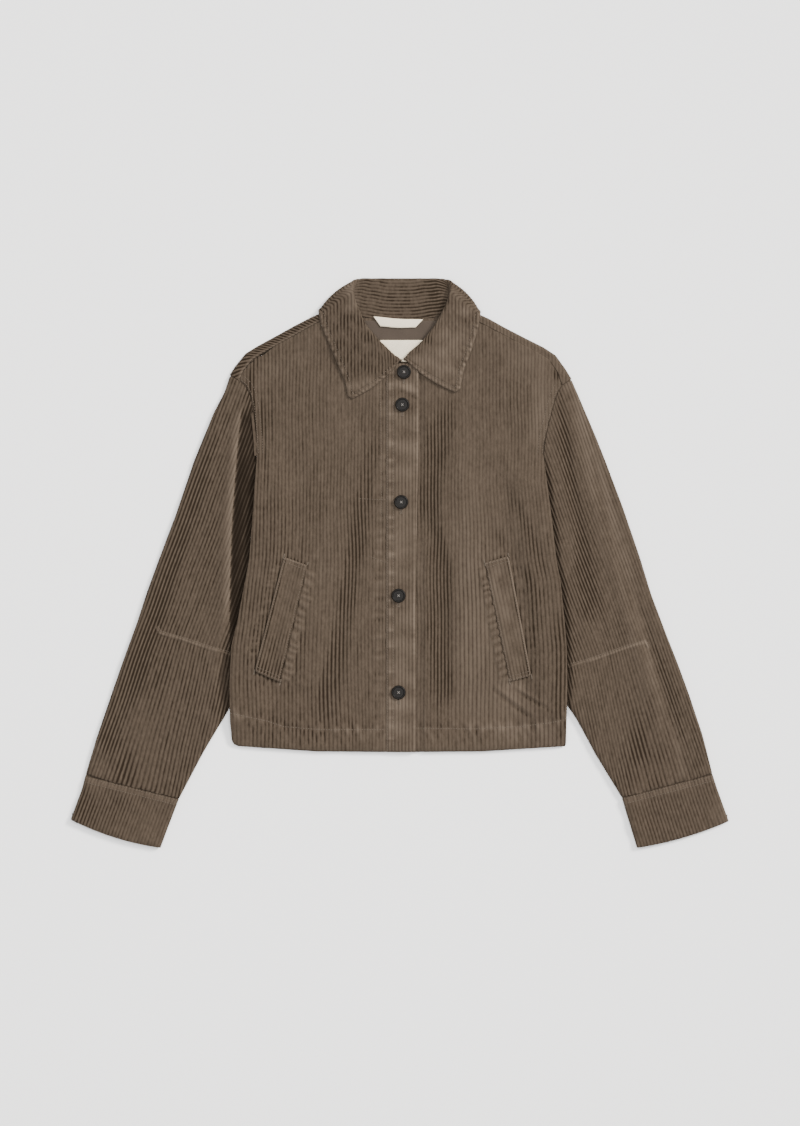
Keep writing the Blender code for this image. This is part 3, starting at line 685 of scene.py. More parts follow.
def front_outline(side):
    """Plan of a front: side and armhole, shoulder seam, neckline, front edge, hem."""
    hem = [(x, float(hem_y(x))) for x in (FRONT_EDGES[side], side * 110, side * 185)]
    return side_line(side) + shoulder_seam(side) + NECK_EDGES[side] + hem


def front_plan(side, rows=250):
    """Points in columns along the wales, and the phase of each column's wale."""
    edge = 0.0 if side > 0 else FRONT_EDGES[side]
    count = int((232 - side * edge) / (PITCH / PER_WALE)) + 2
    xs = edge + side * np.arange(count) * PITCH / PER_WALE
    if side > 0:
        xs = np.concatenate([[FRONT_EDGES[side], -9.2, -4.6], xs])
    top = np.array(sorted([(side * 240, 215)] + shoulder_seam(side) + NECK_EDGES[side]))
    crest = np.interp(xs, top[:, 0], top[:, 1])
    share = np.linspace(0.0, 1.0, rows)[:, None]
    y = mix(hem_y(xs) + 0.05, crest, share)
    x = xs + 0.9 * drift(5 + side, 130.0, xs, y) * ease(0, 40, np.abs(xs - edge))
    spread = side_x(side, np.maximum(y, -205.0)) - side_x(side, FAN_TOP)
    outwards = np.clip((side * xs - 70.0) / 125.0, 0.0, 1.1)
    x = x + FAN[side] * np.where(y < FAN_TOP, spread, 0.0) * outwards
    return np.stack([x, y], axis=-1), np.broadcast_to(xs / PITCH, x.shape)


def painted_fold_shade(height):
    """Painted shade in troughs, which darkens their grooves; ridges get a little painted highlight.
    """
    return np.where(height < 0, 0.5 * np.tanh(1.2 * height), 0.1 * height)


Patch = namedtuple("Patch", "x y wide long lean amount")
# painted light and shade, with some rubbed wear: soft patches where the pile is made lighter or
# darker
PAINTED_LIGHT_PATCHES = [
    # right front
    Patch(-28, 60, 8, 180, 0, 0.12), Patch(-165, 255, 28, 16, 25, 0.22),
    Patch(-120, 60, 40, 120, 0, 0.03),
    Patch(-140, -116, 45, 50, 0, -0.12), Patch(-185, -205, 30, 14, 0, -0.10),
    Patch(-150, -190, 60, 50, 0, -0.14), Patch(-120, -20, 60, 200, 0, -0.09),
    # left front
    Patch(31, 30, 7, 230, 0, 0.20), Patch(165, 270, 24, 22, -30, 0.32),
    Patch(186, 205, 11, 50, -6, 0.45),
    Patch(127, -60, 15, 75, 8, 0.35), Patch(148, -172, 26, 20, -35, 0.3),
    Patch(198, -90, 14, 110, 4, 0.02),
    Patch(176, -60, 8, 90, 4, -0.3), Patch(204, -226, 20, 20, 0, 0.4),
    Patch(150, -228, 30, 14, 0, 0.28), Patch(90, -20, 20, 120, 0, 0.12),
    Patch(70, 240, 40, 30, 0, 0.10), Patch(120, -110, 60, 110, 0, 0.10),
    Patch(120, -195, 60, 26, 0, 0.14),
    Patch(92, -120, 24, 70, 0, 0.15),
    # placket
    Patch(0, -205, 18, 42, 0, 0.32), Patch(0, -20, 18, 200, 0, 0.09),
    Patch(0, -128, 18, 12, 0, 0.28), Patch(0, 165, 18, 20, 0, 0.2),
    Patch(13, 233, 7, 6, -30, 0.9), Patch(-4, 226, 8, 3, -30, -0.5),
    Patch(14, 120, 9, 14, 0, 0.15),
    # collar
    Patch(-66, 355, 8, 24, 8, 0.75), Patch(-62, 370, 8, 8, 0, 0.4),
    Patch(62, 288, 24, 36, -38, 0.5), Patch(54, 262, 16, 9, 30, 0.35),
    Patch(30, 266, 8, 6, 30, 0.3), Patch(48, 356, 14, 20, 0, -0.7),
    Patch(36, 322, 12, 7, -20, -0.7),
    Patch(-50, 240, 20, 8, 22, 0.6), Patch(-90, 322, 8, 14, -20, 0.35),
    Patch(-10, 340, 30, 6, 0, -0.15),
    Patch(80, 340, 10, 22, 30, 0.25),
    # sleeves and cuffs
    Patch(-275, 60, 40, 110, 20, -0.13), Patch(-345, -170, 46, 100, 14, -0.2),
    Patch(-370, -320, 60, 30, 15, -0.22),
    Patch(330, -250, 45, 70, -14, -0.15), Patch(238, -150, 14, 60, -8, -0.2),
    Patch(-185, -150, 30, 90, 0, -0.2),
    Patch(-180, 90, 26, 60, 0, -0.14), Patch(-110, -215, 70, 20, 0, -0.14),
    Patch(40, 300, 10, 12, 0, -0.5),
    Patch(-330, -45, 12, 30, 15, -0.2), Patch(-425, -318, 16, 28, 15, -0.35),
    Patch(-395, -225, 12, 40, 18, -0.2),
    Patch(300, -290, 14, 30, -15, -0.2), Patch(432, -330, 12, 24, -12, 0.3),
    Patch(-232, 235, 7, 10, 20, 0.4),
    Patch(225, 236, 8, 9, 0, 0.45), Patch(208, 251, 5, 9, -20, -0.6),
]
PAINTED_LIGHT_LINES = [
    # painted shadow in the right front's dip beside its armhole, and painted shade on the forearm
    # below the recess
    [Fold(262, -196, 0.5, 2.6), Fold(240, -198.5, 0.9, 3.6), Fold(215, -197, 0.95, 4.6),
     Fold(190, -194, 0.95, 3.6),
     Fold(165, -191, 0.5, 3)],
    [Fold(-128, -234, 0.2, 5), Fold(-150, -238, 0.4, 6), Fold(-185, -246, 0.2, 6)],
    # painted shade along the left front's side
    [Fold(-80, 212, 0.3, 9), Fold(-150, 213, 0.4, 10), Fold(-225, 212, 0.4, 11)],
    # painted highlights along the upper and outer edge of the left sleeve, and painted shade where
    # it meets the body
    [Fold(230, 230, -0.2, 6), Fold(195, 239, -0.5, 9), Fold(145, 247, -0.45, 9),
     Fold(95, 256, -0.2, 9)],
    [Fold(215, 238, -0.2, 7), Fold(155, 257, -0.4, 7), Fold(105, 271, -0.5, 7),
     Fold(45, 289, -0.5, 7),
     Fold(0, 301, -0.45, 7), Fold(-50, 316, -0.4, 7), Fold(-102, 330, -0.4, 7),
     Fold(-145, 341, -0.35, 7),
     Fold(-220, 362, -0.3, 7), Fold(-275, 377, -0.3, 7)],
    [Fold(60, 212, 0.2, 5), Fold(0, 216, 0.35, 5), Fold(-100, 228, 0.35, 5),
     Fold(-150, 232, 0.3, 5)],
]
PUCKERS = [
    (0.4, [(-164, 0), (-183, -66), (-201, -132)]),
    (0.3, [(154, 0), (170, -75), (185, -140)]),
    (0.35, [(-200, -150), (-172, -163), (-131, -158)]),
    (0.35, [(143, -162), (160, -166), (182, -158)]),
    (0.45, [(-24, 262), (-23, 175), (-26, 60), (-28, 6), (-27, -120), (-27, -222)]),
    (0.3, [(-150, 15), (-112, 10)]),
    (0.3, [(104, 8), (140, 14)]),
]
BRUSHED = [
    Patch(-356, -225, 30, 60, 14, 0.55), Patch(-238, -135, 14, 60, 8, 0.6),
    Patch(-270, 20, 16, 90, 18, 0.3),
    Patch(292, -210, 26, 70, -14, 0.65), Patch(222, 30, 16, 90, -8, 0.45),
    Patch(242, -150, 14, 50, -8, 0.5),
    Patch(0, 30, 14, 60, 0, 0.2), Patch(-330, -205, 26, 60, 14, 0.3),
    Patch(-132, -180, 50, 50, 0, 0.4),
    Patch(46, -20, 20, 220, 0, 0.18), Patch(115, 130, 60, 80, 0, 0.35),
    Patch(-110, 170, 60, 50, 0, 0.15),
    Patch(-190, -195, 40, 40, 0, 0.5), Patch(-165, 190, 30, 80, 0, 0.25),
]


def patches(table, x, y):
    """Sum of a table's soft leaning patches."""
    total = 0.0
    for patch in table:
        lean = math.radians(patch.lean)
        across = (x - patch.x) * math.cos(lean) + (y - patch.y) * math.sin(lean)
        up = (y - patch.y) * math.cos(lean) - (x - patch.x) * math.sin(lean)
        total = total + patch.amount * np.exp(-(across / patch.wide) ** 2 - (up / patch.long) ** 2)
    return total


def painted_light_and_wear(x, y):
    """Painted light and shade, with some rubbed wear: where the pile is made lighter or darker."""
    return patches(PAINTED_LIGHT_PATCHES, x, y) + folds(PAINTED_LIGHT_LINES, x, y)


def brushed(x, y):
    """Where the wales are brushed flat."""
    return np.clip(patches(BRUSHED, x, y), 0.0, 0.9)


def rungs(name, x, y):
    """Pleats like rungs beside a pocket's sewn edge.

    How near they are, from 0 to 1, how full, from 0 between them to 1, and how far the
    sewn edge is.
    """
    low, low_end, high_end, high = WELTS[name]
    side = -1 if low[0] < 0 else 1
    path = [low_end, high_end] if side < 0 else [low, high]
    gap, where, way = nearest(path, x, y)
    away = gap * way * side
    number = where / RUNG + 0.22 * drift(28 + side, 45.0, where) + 0.02 * away
    reach = 12.0 + 2.0 * drift(30 + side, 25.0, where)
    near = ease(-0.6, 1.2, away) * ease(reach + 2.0, reach - 2.0, away)
    near = near * ease(0.0, 6.0, where) * ease(160.0, 150.0, where)
    return near, np.abs(np.sin(math.pi * number)) ** 0.55, away


def gathers(path, x, y, width, size, seed):
    """Little puckers across a seam, dying away from it."""
    gap, where, side = nearest(path, x, y)
    return settings().cloth.pucker * hump(gap, width) * drift(seed, size, where, side * gap * 0.4)


def front_surface(side, x, y):
    """Height of a front's wales' crowns."""
    z = front_top(x, y) + folds(FRONT_CREASES, x, y)
    if side > 0:
        z = z - UNDERLAP_DIP * (1.0 - ease(UNDERLAP_TO, UNDERLAP_FROM, x))
    z = z + 0.35 * drift(11, 70.0, x, y) + 0.12 * drift(12, 22.0, x, y)
    armhole = [(-190, 120) if side < 0 else (191.5, 120)] + ARMHOLE[side]
    z = z - 0.9 * hump(nearest(armhole, x, y)[0], 2.0) * ease(118, 135, y)
    z = z - (0.6 if side < 0 else 0.25) * hump(nearest(shoulder_seam(side), x, y)[0], 2.0)
    z = z - 0.6 * hump(nearest(HEM_STITCH, x, y)[0], 1.5)
    z = z + 0.75 * gathers(HEM_STITCH, x, y, 8, 9, 21)
    for seed, (amount, path) in enumerate(PUCKERS, 27):
        z = z - 0.6 * amount * hump(nearest(path, x, y)[0], 1.4)
        z = z + amount * gathers(path, x, y, 8.0, 8.5, seed)
    z = z + 0.3 * gathers(armhole, x, y, 9, 15, 22)
    z = z + 0.25 * gathers(shoulder_seam(side), x, y, 8, 14, 23)
    for seed, (pocket, corners) in enumerate(WELTS.items(), 24):
        z = z + 0.35 * gathers(corners + corners[:1], x, y, 8, 11, seed)
        near, full, _ = rungs(pocket, x, y)
        z = z + settings().cloth.pucker * near * (1.9 * full - 0.3)
    return z - 1.6 * ease(4.5, 0.0, y - hem_y(x))


def front(side, name, material):
    """A front, with its troughs, puckered seams and pleats beside the pocket."""
    plan, phase = front_plan(side)
    plan, stands = clipped(plan, front_outline(side))
    phase = phase[:len(plan)]
    x, y = plan[..., 0], plan[..., 1]
    z = front_surface(side, x, y)
    # painted shade in the troughs and creases, with the painted light and shade of the patches and
    # lines
    tone = painted_fold_shade(folds(FRONT_FOLDS, x, y) + folds(FRONT_CREASES, x, y))
    tone = tone * (0.9 + 0.25 * drift(32, 55.0, x, y)) + painted_light_and_wear(x, y)
    # painted light and shade on the hem's puckers: lighter where they rise, darker where they dip
    ripple = gathers(HEM_STITCH, x, y, 9, 9, 21)
    tone = tone + np.where(ripple < 0, 0.2, 0.5) * ripple
    tone = tone + 0.35 * hump(nearest(HEM_STITCH, x, y)[0], 1.6)
    tone = tone + 0.07 * drift(33, 7.0, x, y / 12) + 0.05 * drift(34, 18.0, x, y / 2)
    # painted light and shade on the puckered seams, lighter where they rise, and a light line along
    # each seam
    for seed, (amount, path) in enumerate(PUCKERS, 27):
        ripple = gathers(path, x, y, 8.0, 8.5, seed)
        tone = tone + amount * (0.45 * ripple + 0.25 * hump(nearest(path, x, y)[0], 1.5))
    flat_nap = brushed(x, y)
    for pocket, corners in WELTS.items():
        near, full, away = rungs(pocket, x, y)
        # painted light and shade on the pleats beside the pocket: lighter on their crests, darker
        # between them, with a dark line along the sewn edge
        tone = tone * (1.0 - near) + near * (1.15 * full - 0.75)
        tone = tone - 0.4 * hump(away, 1.0) * (near > 0.05)
        flat_nap = flat_nap + 0.75 * near
        # painted shadow along the welt's free edge and its ends
        outer = corners[2:] + corners[:2] if corners[0][0] < 0 else corners[::-1]
        tone = tone - 0.4 * hump(nearest(outer, x, y)[0], 2.2)
    tone = tone + 0.16 * hump(y - read_hem(x) + 12.0, 11.0) * drift(35, 13.0, x + 0.5 * y)
    tall = 0.48 + 0.25 * drift(31, 60.0, x, y) + 0.6 * np.clip(-tone, 0.0, 0.8)
    z = z + settings().cloth.wale_height / MM * tall * (wale_profile(phase) - 1.0)
    piece = Cloth(name)
    points = np.stack([x, y, z], axis=-1)
    piece.add(points, phase, tone, stands, flip=side < 0, brushed=flat_nap)
    piece.rim([(0.1, 0.9), (0.4, LAYER), (4.0, LAYER)])
    piece.finish(material)


# Back

def shoulder_lines(side, count):
    """Seam and folded edge of a shoulder at matching points, armhole to neck."""
    lines = []
    for names in (("seam_x", "seam_y"), ("edge_x", "edge_y")):
        line = np.stack([column(SHOULDERS[side], name) for name in names], axis=1)
        steps = np.concatenate([[0.0], np.cumsum(np.hypot(*np.diff(line, axis=0).T))])
        at = np.linspace(0.0, steps[-1], count)
        lines.append(np.stack([np.interp(at, steps, line[:, k]) for k in (0, 1)], axis=1))
    return lines


def shoulder_edge(side):
    """Plan of the shoulder's folded edge."""
    return [(row.edge_x, row.edge_y) for row in SHOULDERS[side]]


def back(name, material):
    """The back below, its shoulders folded forward over the top, and its inside at the neck."""
    piece = Cloth(name)
    outline, crest = [], []
    for side in (-1, 1):
        hem = [(side * x, float(hem_y(x)) + 0.5) for x in (110.0, 185.0)]
        outline.append(hem + side_line(side) + shoulder_edge(side))
        crest += shoulder_edge(side) + [(side * 245, 228)]
    outline = outline[0] + BACK_NECK + outline[1][::-1] + [(0, -251.5)]
    crest = np.array(sorted(crest + BACK_NECK))
    xs = np.arange(-100, 101) * PITCH / 2
    share = np.linspace(0.0, 1.0, 120)[:, None]
    y = mix(hem_y(xs) + 0.6, np.interp(xs, crest[:, 0], crest[:, 1]), share)
    plan, stands = clipped(np.stack([np.broadcast_to(xs, y.shape), y], axis=-1), outline)
    x, y = plan[..., 0], plan[..., 1]
    away = np.minimum(nearest(shoulder_edge(-1), x, y)[0], nearest(shoulder_edge(1), x, y)[0])
    rise = 3.3 * np.maximum(0.0, 1.0 - away / FOLD_RADIUS) ** 2
    rise = rise + 1.2 * ease(4.5, 0.0, y - hem_y(x))
    z = back_under(x, y) + rise + 0.5 * (1.0 - wale_profile(x / PITCH))
    piece.add(np.stack([x, y, z], axis=-1), x / PITCH, 0.0, stands, flip=True)
    piece.rim([(0.1, 0.9), (0.4, LAYER), (5.0, LAYER)], up=-1.0)
    for side in (-1, 1):
        seam, edge = shoulder_lines(side, 190)
        inward = seam - edge
        reach = np.linalg.norm(inward, axis=1, keepdims=True)
        inward = inward / reach
        low, high = lift(edge[:, 0], edge[:, 1]), front_top(edge[:, 0], edge[:, 1])
        rows = []
        for turn in np.linspace(0.0, math.pi / 2, 6):
            spot = edge + inward * FOLD_RADIUS * (1 - math.cos(turn))
            rows.append(np.column_stack([spot, mix((low + high) / 2, high, math.sin(turn))]))
        for step in np.linspace(0.12, 1.0 if side < 0 else 1.08, 9):
            spot = edge + inward * mix(FOLD_RADIUS, reach, step)
            dip = (0.5 if side < 0 else -0.15) * ease(0.7, 1.0, step)
            rows.append(np.column_stack([spot, front_top(spot[:, 0], spot[:, 1]) - dip]))
        strip = np.array(rows)
        phase = (2 * edge[:, 0] - strip[..., 0] if side < 0 else strip[..., 0]) / PITCH
        uneven = 0.3 * drift(41, 16.0, strip[..., 0], strip[..., 1])
        strip[..., 2] += 0.75 * (wale_profile(phase) - 1.0) + uneven
        start = len(piece.faces)
        tone = 0.1
        if side < 0:
            tone = (hump(np.linspace(-7.0, 0.4, len(strip)), 1.2) - 0.5)[:, None]
        piece.add(strip, phase, tone, flip=side > 0)
        piece.rim([(0.2, 1.2), (1.0, 2.0)], faces_from=start)
    inside = np.stack(np.meshgrid(np.linspace(-76, 76, 31), np.linspace(236, 326, 19)), axis=-1)
    x, y = inside[..., 0], inside[..., 1]
    piece.add(np.stack([x, y, lift(x, y) + LAYER], axis=-1), 0.5)
    piece.finish(material)


# Sleeves

Station = namedtuple("Station", "outer_x outer_y inner_x inner_y")
SLEEVES = {
    -1: [Station(-225.8, 250.1, -190.4, 139.6), Station(-233, 228, -187.5, 118),
         Station(-248, 199, -186.5, 95), Station(-262, 165, -183, 60),
         Station(-274, 135.5, -178, 28),
         Station(-299, 62, -182, -30), Station(-321, 4, -192, -75), Station(-337, -40, -200, -105),
         Station(-349, -77, -206, -128), Station(-365, -121, -213, -165),
         Station(-380.5, -165, -230, -199), Station(-404, -234, -262, -253),
         Station(-418.5, -283, -294, -314)],
    1: [Station(228.2, 245.0, 191.9, 139.6), Station(237, 225, 190, 122),
        Station(248, 199, 190, 98),
        Station(262, 166, 186, 63), Station(275, 133, 181, 32), Station(297.5, 73, 187, -25),
        Station(320, 7, 196, -72), Station(335, -42, 203, -110), Station(354.5, -94, 207, -144),
        Station(370, -133, 214, -176), Station(385, -174, 235, -207),
        Station(403, -228, 262, -257),
        Station(416.5, -281, 296, -312.5)],
}
SLEEVE_FOLDS = {
    -1: [
        # lit ridge beside the body, and the recess between them
        [Fold(216, -210, -0.6, 6), Fold(174, -217, -1.8, 9), Fold(110, -223, -2.6, 11),
         Fold(60, -227, -2.9, 12),
         Fold(4, -229, -2.8, 12), Fold(-60, -231, -2.2, 12), Fold(-116, -233, -1.0, 12)],
        # shallow trough inside the outer fold
        [Fold(150, -255, 0.4, 8), Fold(44, -288, 1.5, 9), Fold(-9, -305, 1.8, 9),
         Fold(-63, -321, 1.7, 9),
         Fold(-116, -342, 1.6, 10), Fold(-169, -360, 1.8, 13), Fold(-235, -384, 1.6, 13)],
        [Fold(-215, -352, 0.2, 10), Fold(-275, -368, 1.5, 9)],
        [Fold(-130, -300, -0.5, 22), Fold(-220, -318, -1.0, 22)],
    ],
    1: [
        [Fold(222, 212, 0.4, 5), Fold(171, 218.5, 1.4, 6), Fold(108, 228, 2.2, 7),
         Fold(44, 239, 1.8, 8),
         Fold(-9, 246, 1.2, 12), Fold(-60, 254, 0.8, 14)],
        [Fold(130, 246, -0.8, 9), Fold(97, 255, -1.4, 10), Fold(44, 270, -1.8, 12),
         Fold(-9, 286, -2.0, 13),
         Fold(-63, 302, -2.2, 13), Fold(-116, 318, -2.2, 13), Fold(-169, 334, -1.9, 13),
         Fold(-235, 350, -1.4, 13)],
        [Fold(-30, 308, 0.6, 8), Fold(-63, 320, 1.2, 8), Fold(-116, 336, 1.4, 8),
         Fold(-169, 352, 1.2, 9),
         Fold(-225, 368, 0.6, 9)],
        [Fold(-180, 300, 0.5, 16), Fold(-250, 318, 1.0, 14)],
    ],
}
# where the right sleeve's ridge breaks down into the recess beside the body
BRINK = [(-205, 217), (-211, 199), (-215.5, 155), (-219, 110), (-222, 66), (-223.5, 40),
         (-225.5, -29), (-226.5, -92), (-227.5, -128)]
RECESS = {-1: (20.0, 8.0), 1: (8.0, 0.0)}  # where the sleeve drops to pass under the body's side
LEAN = math.radians(20.0)                  # the upper sleeve's wales against +Y
FOREARM_LEAN = math.radians(12.5)
ELBOWS = {
    -1: [(-325, -85), (-319, -93), (-303, -97.5), (-286, -102.5), (-250, -114.5), (-224, -122)],
    1: [(331, -112), (327, -105), (296, -114.5), (261, -127), (224, -138), (214, -142)],
}
ELBOW_REACH = {-1: 352.0, 1: 361.0}
SLEEVE_PITCH = {-1: PITCH, 1: 4.1}         # the left sleeve is drawn narrower than it was cut


def sleeve_outline(side):
    """Plan of a sleeve: its outer and inner folds, and the whole outline."""
    outer = [(s.outer_x, s.outer_y) for s in SLEEVES[side]]
    inner = [(s.inner_x, s.inner_y) for s in SLEEVES[side]]
    armhole = [(x + side * 0.5, y - 0.4) for x, y in ARMHOLE[side]]
    return outer, inner, outer + inner[::-1] + armhole


def sleeve_plan(side, rows, step):
    """Points in columns along the wales, which bend at the elbow, and their phase."""
    tip = np.array([SLEEVES[side][0].outer_x, SLEEVES[side][0].outer_y])
    down = np.array([side * math.sin(LEAN), -math.cos(LEAN)])
    across = np.array([-side * math.cos(LEAN), -math.sin(LEAN)])
    pitch = SLEEVE_PITCH[side]
    g = np.arange(-28, 185.0 / pitch * PER_WALE, step) * pitch / PER_WALE
    length = np.linspace(-12.0, 600.0, rows)[:, None]
    elbow = ELBOW_REACH[side]
    lean = mix(math.radians(19.2), FOREARM_LEAN, ease(20.0, 95.0, g))
    lower = np.stack([side * np.sin(lean), -np.cos(lean)], axis=-1)
    before = np.minimum(length, elbow)[..., None]
    after = np.maximum(length - elbow, 0.0)[..., None]
    plan = tip + g[None, :, None] * across + before * down + after * lower[None]
    wander = 0.8 * drift(51 + side, 110.0, plan[..., 0], plan[..., 1])
    return plan + wander[..., None] * across, np.broadcast_to(g / pitch, plan.shape[:2])


def fold_fall(gap, radius, height):
    """How far cloth drops towards a folded edge, gap away from it."""
    share = np.clip(1.0 - gap / radius, 0.0, 1.0)
    return height * (1.0 - np.sqrt(1.0 - share ** 2))


def brink(x, y):
    """How far past the brink, towards the body, and how strongly it shows."""
    gap, _, way = nearest(BRINK, x, y)
    return gap * way, ease(214, 190, y) * ease(-128, -105, y)


def sleeve_top(side, x, y):
    """Height of the upper layer's crowns, and its tone, which paints shade into its folds and
    recess and a highlight on its ridge.
    """
    outer, inner, _ = sleeve_outline(side)
    far, near = RECESS[side]
    fade = ease(-6, 8, -inset(x, y) + 200 * ease(135, 150, y))
    z = BODY_HEIGHT + 0.6 + folds(SLEEVE_FOLDS[side], x, y) * fade
    drop = ease(far, near, -inset(x, y)) * ease(146, 112, y) * ease(-244, -215, y)
    past, shows = brink(x, y) if side < 0 else (-50.0, 0.0)
    drop = np.maximum(drop, ease(-1.0, 2.6, past) * shows)
    z = mix(z, TUCK_TOP, drop)
    z = z + 0.35 * drift(61 + side, 75.0, x, y) + 0.15 * drift(62, 24.0, x, y)
    armhole = [(x0 + side * 0.5, y0) for x0, y0 in ARMHOLE[side]]
    z = z - 0.5 * hump(nearest(armhole, x, y)[0], 2.2) + 0.35 * gathers(armhole, x, y, 10, 13, 63)
    gap = nearest(ELBOWS[side], x, y)[0]
    z = z + 1.2 * hump(gap, 1.8) - 0.7 * hump(gap - 3.2, 1.6)
    z = z + 0.3 * gathers(ELBOWS[side], x, y, 9, 12, 64)
    z = z - fold_fall(nearest(outer, x, y)[0], 5.5, 3.6)
    z = z - fold_fall(nearest(inner, x, y)[0], 5.5, 3.4)
    wrist = [outer[-1], inner[-1]]
    z = z - 0.8 * hump(nearest(wrist, x, y)[0], 2.2) + 0.4 * gathers(wrist, x, y, 12, 11, 65)
    # painted shade in the folds and where the sleeve drops into the recess under the body, and
    # lighter along the elbow seam
    tone = painted_fold_shade(folds(SLEEVE_FOLDS[side], x, y)) - 1.1 * drop + 0.9 * hump(gap, 1.8)
    # painted highlight on the ridge before the brink, painted shadow past it in the recess
    rise = ease(165, 110, y) * ease(-128, -60, y)
    lit = 0.75 * hump(past, 8.0)
    dark = -0.3 - 0.45 * rise * hump(past - 3.0, 9.0)
    tone = tone + shows * np.where(past < 0, lit, dark)
    grain = (x + side * math.tan(LEAN) * y) * math.cos(LEAN)
    tone = tone + 0.1 * drift(67, 6.0, grain, y / 14) + 0.06 * drift(68, 20.0, x, y / 2)
    return np.maximum(z, 1.2), tone


def sleeve(side, name, material):
    """A flattened sleeve, its two layers joined by ribbons at the armhole and the wrist."""
    outline = sleeve_outline(side)[2]
    piece = Cloth(name)
    plan, phase = sleeve_plan(side, 260, 1)
    plan, stands = clipped(plan, outline)
    phase = phase[:len(plan)]
    x, y = plan[..., 0], plan[..., 1]
    z, tone = sleeve_top(side, x, y)
    tall = settings().cloth.wale_height / MM * (0.9 + 0.3 * drift(66, 50.0, x, y))
    tall = tall * (1.0 - 0.6 * ease(0.1, 0.3, tone))
    z = z + tall * (wale_profile(phase) - 1.0)
    # painted shade: both sleeves darker than the body, the one at -X, away from the key light, more
    # so
    tone = tone + painted_light_and_wear(x, y) - (0.19 if side < 0 else 0.08)
    piece.add(np.stack([x, y, z], axis=-1), phase, tone, stands, flip=side < 0,
              brushed=brushed(x, y) + 0.18)
    piece.rim([(0.4, 1.4), (1.4, 2.6), (3.5, 3.4)])
    first, last = SLEEVES[side][0], SLEEVES[side][-1]
    shoulder = [(first.outer_x - side * 1.2, first.outer_y - 0.5)] + ARMHOLE[side][::-1]
    wrist = [(last.outer_x - side * 0.6, last.outer_y), (last.inner_x + side * 0.6, last.inner_y)]
    for path, reach, height, shade in ((shoulder, 3.5, 5.4, -0.1), (wrist, 3.0, 5.0, -0.5)):
        spots, ways = along(path, 3.0)
        left = np.stack([-ways[:, 1], ways[:, 0]], axis=1)
        strip = np.stack([spots - left * reach, spots + left * reach])
        level = np.full((2, len(spots), 1), height)
        piece.add(np.concatenate([strip, level], axis=2), 0.3, shade, flip=True)
    plan, phase = sleeve_plan(side, 80, 3)
    plan, stands = clipped(plan, outline)
    x, y = plan[..., 0], plan[..., 1]
    loop = outline + outline[:1]
    z = 0.1 + 3.2 * np.maximum(0.0, 1.0 - nearest(loop, x, y)[0] / 4.0) ** 2
    piece.add(np.stack([x, y, z], axis=-1), phase[:len(plan)], 0.0, stands, flip=side > 0)
    piece.finish(material)


Ring = namedtuple("Ring", "outer_x outer_y inner_x inner_y bow")
CUFFS = {
    -1: [Ring(-418.6, -283.4, -294.1, -314.4, 0), Ring(-424, -303, -302, -335, 2),
         Ring(-431, -322, -310, -356, 4), Ring(-438.2, -341.5, -318.5, -379.2, 5.0)],
    1: [Ring(416.6, -281.4, 296.1, -312.9, 0), Ring(423, -301, 302.5, -335, 1.5),
        Ring(430.5, -322, 309, -356, 3), Ring(438.2, -343.5, 316, -379.2, 4)],
}


CUFF_WALES = 27        # across the upper layer of a cuff
CUFF_ACROSS = np.array([0.0, 0.004, 0.011, *np.linspace(0.02, 0.98, CUFF_WALES * PER_WALE + 1),
                        0.989, 0.996, 1.0])
CUFF_UNDER = np.linspace(0.99, 0.01, 24)


def cuff_ring(values, shrink=0.0, drop=0.0):
    """Points round a cuff, drawn in and let down where its edge turns in."""
    start, end, bow = values[:2], values[2:4], values[4]
    length = np.linalg.norm(end - start)
    way = (end - start) / length
    out = np.array([way[1], -way[0]])
    out = out if out[1] < 0 else -out
    result = []
    for share in (*CUFF_ACROSS, *CUFF_UNDER):
        edge = min(share, 1.0 - share) * length
        spot = start + way * (shrink + (length - 2 * shrink) * share)
        height = 8.0 - fold_fall(edge, 6.0, 4.0) - drop
        if len(result) >= len(CUFF_ACROSS):
            height = 0.1 + 3.0 * max(0.0, 1.0 - edge / 4.0) ** 2 + min(drop, 2.4)
        result.append((*(spot + out * bow * 4 * share * (1 - share)), height))
    return np.array(result)


def cuff(side, name, material):
    """A doubled cuff: a flattened tube whose edge is turned in at the opening."""
    rings = curve_through(np.array(CUFFS[side], float), 9)
    phase = np.concatenate([CUFF_ACROSS, CUFF_UNDER]) * CUFF_WALES / 0.96
    rows = []
    for values, seam in zip(rings, np.arange(len(rings)) / (len(rings) - 1)):
        row = cuff_ring(values)
        relief = 0.85 * (wale_profile(phase) - 1.0)
        relief = relief + 0.5 * drift(71 + side, 34.0, row[:, 0], row[:, 1])
        pucker = 0.5 * drift(73, 9.0, phase * PITCH)
        relief = relief + pucker * (hump(seam, 0.18) + hump(1 - seam, 0.2))
        relief = relief - 0.9 * hump(seam, 0.05) + 0.5 * hump(seam - 0.12, 0.05)
        relief = relief - 1.3 * hump(1 - seam, 0.03)
        row[:len(CUFF_ACROSS), 2] += relief[:len(CUFF_ACROSS)]
        rows.append(row)
    for back_by, drop in ((0.3, 1.0), (0.2, 2.0), (-2.0, 2.6), (-9.0, 2.6)):
        inner = rings[-1].copy()
        inner[[1, 3]] -= back_by
        rows.append(cuff_ring(inner, 0.6 * drop, drop))
    piece = Cloth(name)
    points = np.array(rows)
    light = 0.35 * hump(np.arange(len(rows)) / (len(rings) - 1) - 0.1, 0.06)[:, None]
    piece.add(points, phase, light + painted_light_and_wear(points[..., 0], points[..., 1]) - 0.08, wrap=True,
              flip=side > 0, brushed=0.25 if side < 0 else 0.05)
    piece.finish(material)


# Placket and pockets

